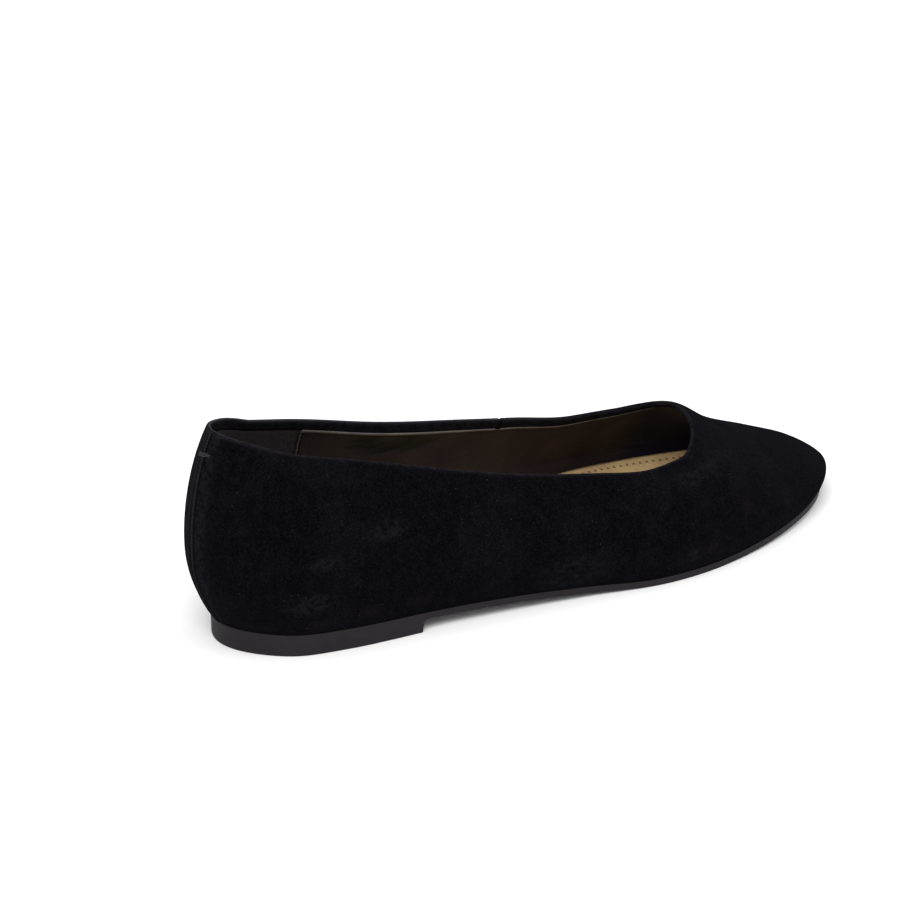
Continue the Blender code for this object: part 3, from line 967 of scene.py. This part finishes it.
def wedge_stitch(wide, deep, tall):
    """One embossed stitch of the sock: a low wedge, broad outside and pointed inside."""
    mesh = bmesh.new()
    broad, point, half = wide / 2, 0.12 * wide, deep / 2
    outline = [(-broad, half), (broad, half), (point, -half), (-point, -half)]
    low = [mesh.verts.new((x, y, -tall)) for x, y in outline]
    high = [mesh.verts.new((0.7 * x, 0.8 * y, tall)) for x, y in outline]
    mesh.faces.new(low)
    mesh.faces.new(high)
    for i in range(4):
        j = (i + 1) % 4
        mesh.faces.new((low[i], low[j], high[j], high[i]))
    bmesh.ops.recalc_face_normals(mesh, faces=mesh.faces)
    return linked("stitch", mesh_data("stitch", mesh))


def from_centre(trim, rib):
    """How far a rib starts from the centre back, in half widths of the raised strip."""
    return abs(rib.foot[1]) / (trim.back_seam_width / 2)


def strip_raise(trim, rib):
    """How far the strip at the centre back stands out, with softened edges."""
    if rib.foot[0] >= STRIP_ZONE:
        return 0.0
    inside = (STRIP_EDGE - from_centre(trim, rib)) / STRIP_SOFTNESS
    return trim.back_seam_raise * float(blend(inside))


def bell(value, middle, reach):
    """1 at the middle, falling off to both sides."""
    return np.exp(-(((value - middle) / reach) ** 2))


class Skin:
    """The upper's outside as one mesh of both halves, with its collar loop and its normals."""

    def __init__(self, last, trim):
        self.drop = last.sizes.wall_thickness / 2
        seam = trim.side_seam_place
        around = [seam + step for step in SIDE_SEAM_STEPS]
        grids = {}
        points = []
        shares = {"edge": [], "shade": [], "brushed": [], "tinted": []}
        for side in ("outer", "inner"):
            rows = []
            stations = last.stations(side, self.drop, around)
            self.throat_rib = int(np.searchsorted(stations, last.throat(self.drop) - 1e-9))
            for i, x in enumerate(stations):
                rib = last.rib(side, x)
                wall = spread(last.wall_profile(rib, self.drop), WALL_ROWS, WALL_CROWDING)
                seam_dip = trim.side_seam_depth * bell(x, seam, SEAM_REACH) * (side == "inner")
                wall = shifted(wall, seam_dip - strip_raise(trim, rib))
                wall.height[0] -= SEAT_GAP
                wall.inward[0] += SEAT_GAP
                row = []
                run = np.hypot(np.diff(wall.inward), np.diff(wall.height))
                below = np.concatenate([[0.0], np.cumsum(run)])
                below = below[-1] - below
                worn_and_lit = self.wear_and_painted_light(trim, side, i, rib, wall, below)
                for j, (inward, height) in enumerate(zip(wall.inward, wall.height)):
                    on_ridge = j == WALL_ROWS - 1 and i >= self.throat_rib
                    if side == "inner" and (i in (0, len(stations) - 1) or on_ridge):
                        row.append(grids["outer"][i, j])
                        continue
                    row.append(len(points))
                    points.append(last.place(rib, inward, height))
                    for name, values in worn_and_lit.items():
                        shares[name].append(values[j])
                rows.append(row)
            grids[side] = np.array(rows)
        self.points = np.array(points)
        self.shares = {name: np.array(values) for name, values in shares.items()}
        self.faces = np.concatenate(
            [grid_faces(grids["outer"]), grid_faces(grids["inner"], flip=True)]
        )
        self.faces = np.array([f for f in self.faces if len(set(f)) == 4])
        self.normals = vertex_normals(self.points, self.faces)
        top = WALL_ROWS - 1
        outer = [grids["outer"][i, top] for i in range(self.throat_rib + 1)]
        inner = [grids["inner"][i, top] for i in range(self.throat_rib - 1, 0, -1)]
        self.loop = np.array(outer + inner)

    def wear_and_painted_light(self, trim, side, i, rib, wall, below):
        """The pale fibres with painted sheen, the painted highlight and painted shade, the brushed
        nap and the tint along one rib.
        """
        centre = from_centre(trim, rib)
        from_back = rib.foot[0] + rib.inward[0] * wall.inward
        near_strip = 1.0 if rib.foot[0] < STRIP_ZONE else 0.0
        fuzz_and_sheen = EDGE_FUZZ_AND_SHEEN * np.exp(-below / EDGE_FUZZ_AND_SHEEN_REACH) * rim_fuzz_and_sheen(from_back)
        # Painted highlight along the back strip's raised edge, and painted shade at its foot
        lines, foot_line = (
            line.strength * near_strip * bell(centre, line.middle, line.reach)
            for line in (STRIP_HIGHLIGHT, STRIP_FOOT)
        )
        band = 0.7 * near_strip * blend((centre - 1.2) / 0.8) * blend((5.5 - centre) / 2.5)
        upwards = blend((wall.height - 0.030) / 0.035)
        strip = near_strip * blend((1.1 - centre) / 0.2) * upwards
        brushed = band + 0.55 * strip
        tinted = 0.35 * strip
        if side == "outer":
            brushed = np.maximum(brushed, marked(BRUSHED, from_back, wall.height))
            tinted = np.maximum(tinted, marked(TINTED, from_back, wall.height))
        low = wall.height - wall.height[0]
        return {
            "edge": np.maximum(fuzz_and_sheen * (i < self.throat_rib), lines),
            "shade": np.maximum(FOOT_SHADE * np.exp(-low / FOOT_SHADE_REACH), foot_line),
            "brushed": brushed,
            "tinted": tinted,
        }

    def rim_frame(self):
        """Along the collar: the point, the outward normal and the direction off the edge."""
        edge = self.points[self.loop]
        tangent = np.roll(edge, -1, axis=0) - np.roll(edge, 1, axis=0)
        tangent /= np.linalg.norm(tangent, axis=1)[:, None]
        normal = self.normals[self.loop]
        normal = normal - tangent * np.sum(normal * tangent, axis=1)[:, None]
        normal /= np.linalg.norm(normal, axis=1)[:, None]
        return edge, normal, np.cross(normal, tangent)


def rim_fuzz_and_sheen(from_back):
    """How pale the turned edge is, partly pale fibres and partly painted sheen: most at the back,
    none at the throat.
    """
    return 0.65 * blend((0.168 - from_back) / 0.06) + 0.6 * blend((0.024 - from_back) / 0.024)


def turned_edge(skin, radius, band_width):
    """Rows of points that turn the suede over the collar and down inside it."""
    edge, normal, off = skin.rim_frame()
    centre = edge - normal * radius
    rows = []
    for turn in np.linspace(0, np.pi, RIM_STEPS + 1)[1:]:
        rows.append(centre + radius * (normal * math.cos(turn) + off * math.sin(turn)))
    for share in np.linspace(0, 1, BAND_STEPS + 1)[1:]:
        rows.append(rows[RIM_STEPS - 1] - off * band_width * share)
    return rows


class SHOE_OT_upper(bpy.types.Operator):
    """Build the suede upper with its turned collar, back seam strip and side seam"""

    bl_idname = "shoe.upper"
    bl_label = "Suede upper"

    def execute(self, context):
        last = Last(context.scene.shoe_last)
        trim = context.scene.shoe_trim
        skin = Skin(last, trim)
        points = [skin.points]
        shares = {name: [values] for name, values in skin.shares.items()}
        faces = [skin.faces]
        before = skin.loop
        first = len(skin.points)
        fuzz_and_sheen = rim_fuzz_and_sheen(skin.points[skin.loop][:, 0] - last.offset[0])
        for turn, row in enumerate(turned_edge(skin, skin.drop, trim.band_width)):
            after = first + np.arange(len(row))
            quads = np.stack([before, np.roll(before, -1), np.roll(after, -1), after], axis=-1)
            faces.append(quads)
            points.append(row)
            angle = math.pi * (turn + 1) / RIM_STEPS
            # Painted sheen along the top of the turned edge, with its pale fibres
            pale = bell(angle, RIM_TOP, RIM_REACH) if turn < RIM_STEPS else 0.0
            from_back = row[:, 0] - last.offset[0]
            shaded = bell(from_back, trim.side_seam_place, SEAM_SHADE_REACH) * (row[:, 1] > 0)
            level = np.ones(len(row))
            turned = {
                "edge": np.maximum(pale * fuzz_and_sheen, BAND_FUZZ),
                "shade": SEAM_SHADE * shaded,
                # painted light on the turned edge and band, which get less light
                "brushed": BAND_PAINTED_LIGHT * level,
                "tinted": 0.0 * level,
            }
            for name, values in shares.items():
                values.append(turned[name])
            before = after
            first += len(row)
        surface = suede(context.scene.shoe_finishes)
        piece = new_object(
            "suede_upper",
            np.concatenate(points),
            np.concatenate(faces),
            surface,
            {name: np.concatenate(values) for name, values in shares.items()},
        )
        solidify(piece, SUEDE_SHEET)
        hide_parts("upper")
        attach(piece, "root")
        return {"FINISHED"}


def inside_wall(last, rib, depth, drop, rows):
    """One rib of a sheet inside the wall: depth in from the outside, creased where it's marked."""
    wall = last.wall_profile(rib, drop)
    keep = wall.height > wall.height[0] + LINING_LIFT
    wall = spread(Wall(wall.inward[keep], wall.height[keep]), rows)
    from_back = rib.foot[0] + rib.inward[0] * wall.inward
    dent = CREASE_DEPTH * marked(CREASED, from_back, wall.height) if rib.side == "inner" else 0.0
    return shifted(wall, depth / rib.squareness - dent)


def inside_sheet(last, stop, depth, drop):
    """Grids of a sheet inside the wall, from the centre back to a station."""
    halves = {}
    for side in ("outer", "inner"):
        grid = []
        stations = last.stations(side, drop)
        stations = np.append(stations[stations < stop - 1e-6], min(stop, last.tip))
        for x in stations:
            rib = last.rib(side, float(x))
            wall = inside_wall(last, rib, depth, drop, LINING_ROWS)
            grid.append(last.line(rib, wall))
        halves[side] = grid
    return [halves["outer"], halves["inner"][::-1]]


class SHOE_OT_linings(bpy.types.Operator):
    """Build the lining, the heel grip with its stitches and the lining's pale edge"""

    bl_idname = "shoe.linings"
    bl_label = "Linings"

    def execute(self, context):
        last = Last(context.scene.shoe_last)
        trim = context.scene.shoe_trim
        colours = context.scene.shoe_finishes
        wall = last.sizes.wall_thickness
        # Painted shade in the crease, and under the vamp the darker textile with painted shade
        darkened_places = (("creased", colours.crease_shade), ("shade", colours.vamp_lining_and_shade))
        leather = smooth_leather("lining_leather", colours.lining, 0.6, 700, 0.00012, darkened_places)
        depth = wall - SUEDE_SHEET - SHEET_GAP
        sheet = inside_sheet(last, last.tip, depth, LINING_DROP * wall)
        lining = loft("lining", sheet, leather)
        corners = np.array([vertex.co for vertex in lining.data.vertices]) - last.offset
        from_back = corners[:, 0]
        on_far_side = corners[:, 1] > 0
        # Painted shade that deepens towards the toe, over the vamp textile's darker colour
        shade = VAMP_SHADE * blend((from_back - VAMP_SHADE_START) / VAMP_SHADE_REACH)
        # Painted shade in the crease on the big-toe side
        creased = CREASE_SHADE * marked(CREASED, from_back, corners[:, 2]) * on_far_side
        add_shares(lining.data, {"shade": shade, "creased": creased})
        low = wall / 2 + trim.band_width + SEAT_GAP
        sheet = inside_sheet(last, trim.grip_length, wall - GRIP_DEPTH, low)
        patch = loft("heel_grip", sheet, napped_textile("grip_textile", colours.grip))
        for piece in (lining, patch):
            turn_inwards(piece)
            solidify(piece, LINING_SHEET)
        edge_surface = smooth_leather("lining_edge", colours.lining_edge, 0.6, 1500, 0.00005)
        rim_line = loft("lining_edge", self.edge_strips(last, trim), edge_surface)
        solidify(rim_line, EDGE_SHEET)
        rows = self.grip_stitches(last, trim, colours, low)
        for piece in (lining, patch, rim_line, *rows):
            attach(piece, "root")
        return {"FINISHED"}

    def edge_strips(self, last, trim):
        """The lining's cut edge below the turned suede, both sides, narrower towards the throat."""
        wall = last.sizes.wall_thickness
        skin = Skin(last, trim)
        edge, normal, off = skin.rim_frame()
        inner = edge - normal * (wall + EDGE_LIFT) - off * (trim.band_width + EDGE_LIFT)
        from_back = edge[:, 0] - last.offset[0]
        start = PALE_EDGE[0].station
        shown = (from_back > start) & (from_back < PALE_EDGE[-1].station)
        table = smooth_table([row.station for row in PALE_EDGE], [row.width for row in PALE_EDGE])
        strips = []
        plain = np.abs(from_back - trim.side_seam_place) > SEAM_CLEARANCE
        for run in split_runs(shown):
            run = run[plain[run]]
            wide = np.array([table(x) for x in from_back[run]])[:, None]
            profile = []
            for out, down in EDGE_SECTION:
                stands = normal[run] * (out - EDGE_SHEET)
                profile.append(inner[run] - stands - off[run] * down * wide)
            strips.append(np.array(profile).transpose(1, 0, 2))
        return strips

    def grip_stitches(self, last, trim, colours, low):
        """The grip's corded front edge, and the stitches on the lining in front of it."""
        wall = last.sizes.wall_thickness
        rows = []
        for row in GRIP_ROWS:
            runs = []
            for side in ("outer", "inner"):
                rib = last.rib(side, trim.grip_length + row.ahead)
                line = inside_wall(last, rib, wall - row.sink, low, GRIP_LINE_POINTS)
                points = last.line(rib, line)
                runs.append((points, np.tile((*rib.inward, 0.0), (len(points), 1))))
            surface = thread_surface(row.name, getattr(colours, row.colour))
            stitch = thread_stitch(row.long, row.wide, row.tall)
            rows.append(stitch_row(row.name, runs, row.pitch, stitch, surface))
        return rows


def split_runs(shown):
    """Index runs along a closed loop where the flag is set."""
    count = len(shown)
    start = next(i for i in range(count) if not shown[i])
    runs = []
    current = []
    for step in range(1, count + 1):
        i = (start + step) % count
        if shown[i]:
            current.append(i)
        elif current:
            runs.append(np.array(current))
            current = []
    return runs


def turn_inwards(piece):
    """Faces of a lining point into the shoe, so that its wall grows towards the suede."""
    data = piece.data
    middle = np.mean([vertex.co[:] for vertex in data.vertices], axis=0)
    votes = 0
    for face in data.polygons:
        to_middle = Vector(middle) - face.center
        to_middle.z = 0.0
        votes += 1 if face.normal.dot(to_middle) > 0 else -1
    if votes < 0:
        data.flip_normals()


def sole_ribs(last, side):
    """Ribs of the sole, each with the height of its underside: block, breast and forepart."""
    ribs = []
    sizes = last.sizes
    stations = last.stations(side, 0.0)
    for x in stations:
        if x < sizes.heel_length - sizes.sole_thickness:
            ribs.append((last.rib(side, float(x)), 0.0))
    ribs.append((last.rib(side, sizes.heel_length - BREAST_EDGE), 0.0))
    ribs.append((last.rib(side, sizes.heel_length), BREAST_LIFT))
    foot = sizes.heel_length + BREAST_SLOPE
    for turn in np.linspace(0, np.pi / 2, BREAST_RIBS):
        x = foot + sizes.breast_fillet * (1 - math.cos(turn))
        drop = sizes.breast_fillet * (1 - math.sin(turn))
        ribs.append((last.rib(side, x), last.tread_height(x) - drop))
    arch = last.tread_height(sizes.heel_length)
    for x in stations:
        if x > foot + sizes.breast_fillet + arch / 4:
            ribs.append((last.rib(side, float(x)), None))
    return ribs


def sole_grid(last, side):
    """Half of the sole, round each rib from the centre of its top to the centre of its tread."""
    bevel = last.sizes.edge_bevel
    grid = []
    for rib, underside in sole_ribs(last, side):
        loop = []
        for share in SOLE_TOP_SHARES:
            flat = rib.spine + (rib.foot - rib.spine) * share
            loop.append(last.point(flat, last.sole_top(flat[0])))
        x = rib.foot[0]
        base = last.tread_height(x) if underside is None else underside
        top = last.sole_top(x)
        loop.append(last.place(rib, bevel / 3, top))
        loop.append(last.place(rib, 0.0, top - bevel / 3))
        loop.append(last.place(rib, 0.0, top - 2 * bevel / 3))
        loop.append(last.place(rib, 0.0, (top + base) / 2 + bevel / 2))
        loop.append(last.place(rib, 0.0, base + bevel * 1.3))
        for turn in np.linspace(0, np.pi / 2, 5):
            start = bevel * (1 - math.cos(turn))
            loop.append(last.place(rib, start, base + bevel * (1 - math.sin(turn))))
        edge = rib.foot + rib.inward * bevel
        for share in TREAD_SHARES:
            flat = edge + (rib.spine - edge) * share
            height = last.tread_height(flat[0]) if underside is None else underside
            loop.append(last.point(flat, height))
        grid.append(loop)
    return grid


class SHOE_OT_sole(bpy.types.Operator):
    """Build the moulded sole with its heel block, rounded edges and tread"""

    bl_idname = "shoe.sole"
    bl_label = "Sole"

    def execute(self, context):
        last = Last(context.scene.shoe_last)
        surface = moulded_rubber(context.scene.shoe_finishes)
        grids = [sole_grid(last, side) for side in ("outer", "inner")]
        piece = loft("moulded_sole", grids, surface, math.radians(35))
        data = piece.data
        tread = data.attributes.new("tread", "FLOAT", "POINT")
        down = [1.0 if vertex.normal.z < -0.9 else 0.0 for vertex in data.vertices]
        tread.data.foreach_set("value", down)
        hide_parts("sole")
        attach(piece, "root")
        return {"FINISHED"}


def insole_edge(last, rib):
    """The insole's edge in a rib's plane: how far inward, at its base, turn and top."""
    sizes = last.sizes
    inset = sizes.wall_thickness - SUEDE_SHEET + SEAT_GAP
    inner = shifted(last.full_profile(rib), inset / rib.squareness)
    base = last.sole_top(rib.foot[0]) + SEAT_GAP
    turn = min(
        max(inner.height[0], base + sizes.insole_thickness / 4), base + sizes.insole_thickness / 2
    )
    levels = [base, turn, base + sizes.insole_thickness + sizes.insole_cup]
    return levels, [float(np.interp(level, inner.height, inner.inward)) for level in levels]


def insole_top(last, rib, share):
    """The insole's surface at a share of the way from its spine to its foot."""
    sizes = last.sizes
    flat = rib.spine + (rib.foot - rib.spine) * share
    rise = sizes.insole_cup * share**4
    height = last.sole_top(flat[0]) + SEAT_GAP + sizes.insole_thickness + rise
    return last.point(flat, height)


def insole_grid(last, side):
    grid = []
    for x in last.stations(side, 0.0):
        rib = last.rib(side, float(x))
        levels, edges = insole_edge(last, rib)
        loop = []
        for share in (0.0, 0.5):
            flat = rib.spine + (rib.foot - rib.spine) * share
            height = last.sole_top(flat[0]) + SEAT_GAP
            loop.append(last.point(flat, height))
        for edge, level in zip(edges, levels):
            loop.append(last.place(rib, edge, level))
        reach = 1 - edges[-1] / rib.span
        loop.append(insole_top(last, rib, min(reach, 1.0) - SOCK_EDGE))
        for share in SOCK_SHARES:
            loop.append(insole_top(last, rib, share * min(reach, 1.0)))
        grid.append(loop)
    return grid


class SHOE_OT_insole(bpy.types.Operator):
    """Build the insole with its leather sock and the stitches embossed round it"""

    bl_idname = "shoe.insole"
    bl_label = "Insole"

    def execute(self, context):
        last = Last(context.scene.shoe_last)
        trim = context.scene.shoe_trim
        colours = context.scene.shoe_finishes
        surface = smooth_leather("sock_leather", colours.sock, 0.55, 1100, 0.00008)
        grids = [insole_grid(last, side) for side in ("outer", "inner")]
        piece = loft("sock_insole", grids, surface)
        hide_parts("insole")
        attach(piece, "root")
        line = {}
        for side in ("outer", "inner"):
            line[side] = []
            for x in last.stations(side, 0.0):
                rib = last.rib(side, float(x))
                levels, edges = insole_edge(last, rib)
                inset = edges[-1] + trim.tooth_inset / rib.squareness
                line[side].append(insole_top(last, rib, max(0.0, 1 - inset / rib.span)))
        points = np.array(line["outer"] + line["inner"][-2:0:-1])
        runs = [(points, np.tile((0.0, 0.0, 1.0), (len(points), 1)))]
        stitch = wedge_stitch(*SOCK_STITCH)
        stitches = stitch_row(
            "sock_stitches",
            runs,
            trim.tooth_pitch,
            stitch,
            thread_surface("sock_thread", colours.sock_stitch),
            closed=True,
        )
        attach(stitches, "root")
        return {"FINISHED"}


class SHOE_OT_back_seam(bpy.types.Operator):
    """Sew the bar tack across the back seam"""

    bl_idname = "shoe.back_seam"
    bl_label = "Back seam stitches"

    def execute(self, context):
        last = Last(context.scene.shoe_last)
        trim = context.scene.shoe_trim
        colours = context.scene.shoe_finishes
        runs = []
        for strand in TACK_STRANDS:
            height = trim.tack_height + strand.share * trim.tack_width
            runs.append(back_line(last, trim, height, trim.tack_length, strand.frayed))
        stitch = thread_stitch(TACK_STITCH_LONG, 0.26 * trim.tack_width, TACK_STITCH_TALL)
        surface = thread_surface("tack_thread", colours.thread)
        tack = stitch_row("bar_tack", runs, TACK_PITCH, stitch, surface)
        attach(tack, "root")
        return {"FINISHED"}


def back_line(last, trim, height, long, frayed):
    """A line across the back of the upper, with the surface's normals."""
    points = []
    for side in ("inner", "outer"):
        stations = [x for x in last.stations(side, 0.0) if x < STRIP_ZONE]
        half = []
        for x in stations:
            rib = last.rib(side, float(x))
            wall = last.full_profile(rib)
            inward = float(np.interp(height, wall.height, wall.inward)) - strip_raise(trim, rib)
            half.append(last.place(rib, inward, height))
        points.extend(half[:0:-1] if side == "inner" else half)
    points = np.array(points)
    run = np.linalg.norm(np.diff(points, axis=0), axis=1)
    along = np.concatenate([[0.0], np.cumsum(run)])
    middle = float(np.interp(last.offset[1], points[::-1, 1], along[::-1]))
    places = np.linspace(middle - long / 2, middle + long / 2 - frayed, 60)
    line = np.stack([np.interp(places, along, points[:, k]) for k in range(3)], axis=1)
    line[:, 2] += trim.tack_tilt * (np.linspace(0, 1, len(line)) - 0.5)
    tangent = np.gradient(line, axis=0)
    normals = np.stack([tangent[:, 1], -tangent[:, 0], np.zeros(len(line))], axis=1)
    normals /= np.linalg.norm(normals, axis=1)[:, None]
    normals *= np.where(normals[:, :1] > 0, -1.0, 1.0)
    return line, normals


# The camera, found from the photograph's outline: angles in degrees, the rest in metres or pixels
VIEW_AZIMUTH = -28.18
VIEW_ELEVATION = 24.07
VIEW_ROLL = -1.23
VIEW_DISTANCE = 1.800
VIEW_FOCAL_PIXELS = 5357.0
VIEW_TARGET = (0.125, 0.0, 0.030)
VIEW_SLIDE = (0.03266, -0.00900)
IMAGE_PIXELS = 900
SENSOR_WIDTH = 36.0


class SHOE_OT_stage(bpy.types.Operator):
    """Lay the pale floor and set the lights and the camera"""

    bl_idname = "shoe.stage"
    bl_label = "Stage"

    def execute(self, context):
        scene = context.scene
        last = Last(scene.shoe_last)
        constants = {"Roughness": 0.9, "Specular IOR Level": 0.1}
        surface, tree, shader, place = new_surface("pale_floor", constants)
        shader.inputs["Base Color"].default_value = (*scene.shoe_finishes.floor, 1.0)
        reach = 6.0
        corners = [(-reach, -reach, 0), (reach, -reach, 0), (reach, reach, 0), (-reach, reach, 0)]
        floor = new_object("floor", np.array(corners, float), [(0, 1, 2, 3)], surface)
        self.add_lights(scene)
        self.add_camera(scene, last)
        scene.view_settings.view_transform = "Standard"
        return {"FINISHED"}

    def add_lights(self, scene):
        world = bpy.data.worlds.new("soft_room")
        world.use_nodes = True
        background = world.node_tree.nodes["Background"]
        background.inputs["Color"].default_value = (1.0, 1.0, 1.0, 1.0)
        background.inputs["Strength"].default_value = 1.0
        scene.world = world
        for name, place, size, power in LAMPS:
            lamp = bpy.data.lights.new(name, "AREA")
            lamp.shape = "SQUARE"
            lamp.size = size
            lamp.energy = power
            holder = linked(name, lamp)
            holder.location = place
            aim = Vector(LAMP_TARGET) - Vector(place)
            holder.rotation_euler = aim.to_track_quat("-Z", "Y").to_euler()

    def add_camera(self, scene, last):
        azimuth = math.radians(VIEW_AZIMUTH)
        elevation = math.radians(VIEW_ELEVATION)
        roll = math.radians(VIEW_ROLL)
        back = Vector(
            (
                math.sin(azimuth) * math.cos(elevation),
                -math.cos(azimuth) * math.cos(elevation),
                math.sin(elevation),
            )
        )
        level = Vector((math.cos(azimuth), math.sin(azimuth), 0.0))
        upright = back.cross(level)
        right = level * math.cos(roll) + upright * math.sin(roll)
        up = upright * math.cos(roll) - level * math.sin(roll)
        target = Vector(VIEW_TARGET) + Vector(last.offset)
        target -= right * VIEW_SLIDE[0] + up * VIEW_SLIDE[1]
        lens = bpy.data.cameras.new("photo_camera")
        lens.sensor_width = SENSOR_WIDTH
        lens.lens = VIEW_FOCAL_PIXELS / IMAGE_PIXELS * SENSOR_WIDTH
        lens.clip_end = 50.0
        camera = linked("photo_camera", lens)
        turn = Matrix((right, up, back)).transposed().to_4x4()
        camera.matrix_world = Matrix.Translation(target + back * VIEW_DISTANCE) @ turn
        scene.camera = camera


PIECES = (
    SHOE_OT_upper,
    SHOE_OT_linings,
    SHOE_OT_back_seam,
    SHOE_OT_sole,
    SHOE_OT_insole,
    SHOE_OT_stage,
)


class SHOE_PT_panel(bpy.types.Panel):
    """The shoe's sizes, colours and pieces"""

    bl_label = "Ballet Flat"
    bl_idname = "SHOE_PT_panel"
    bl_space_type = "VIEW_3D"
    bl_region_type = "UI"
    bl_category = "Ballet Flat"

    def draw(self, context):
        for title, group in (
            ("Last", context.scene.shoe_last),
            ("Trim", context.scene.shoe_trim),
            ("Finishes", context.scene.shoe_finishes),
        ):
            box = self.layout.box()
            box.label(text=title)
            for name in type(group).__annotations__:
                box.prop(group, name)
        for piece in PIECES:
            self.layout.operator(piece.bl_idname)


GROUPS = (LastSizes, TrimSizes, Finishes)


def register():
    for item in (*GROUPS, *PIECES, SHOE_PT_panel):
        bpy.utils.register_class(item)
    bpy.types.Scene.shoe_last = PointerProperty(type=LastSizes)
    bpy.types.Scene.shoe_trim = PointerProperty(type=TrimSizes)
    bpy.types.Scene.shoe_finishes = PointerProperty(type=Finishes)


def unregister():
    del bpy.types.Scene.shoe_finishes
    del bpy.types.Scene.shoe_trim
    del bpy.types.Scene.shoe_last
    for item in (SHOE_PT_panel, *reversed(PIECES), *reversed(GROUPS)):
        bpy.utils.unregister_class(item)


def main():
    register()
    bpy.ops.shoe.upper()
    bpy.ops.shoe.linings()
    bpy.ops.shoe.back_seam()
    bpy.ops.shoe.sole()
    bpy.ops.shoe.insole()
    bpy.ops.shoe.stage()


if __name__ == "__main__":
    main()
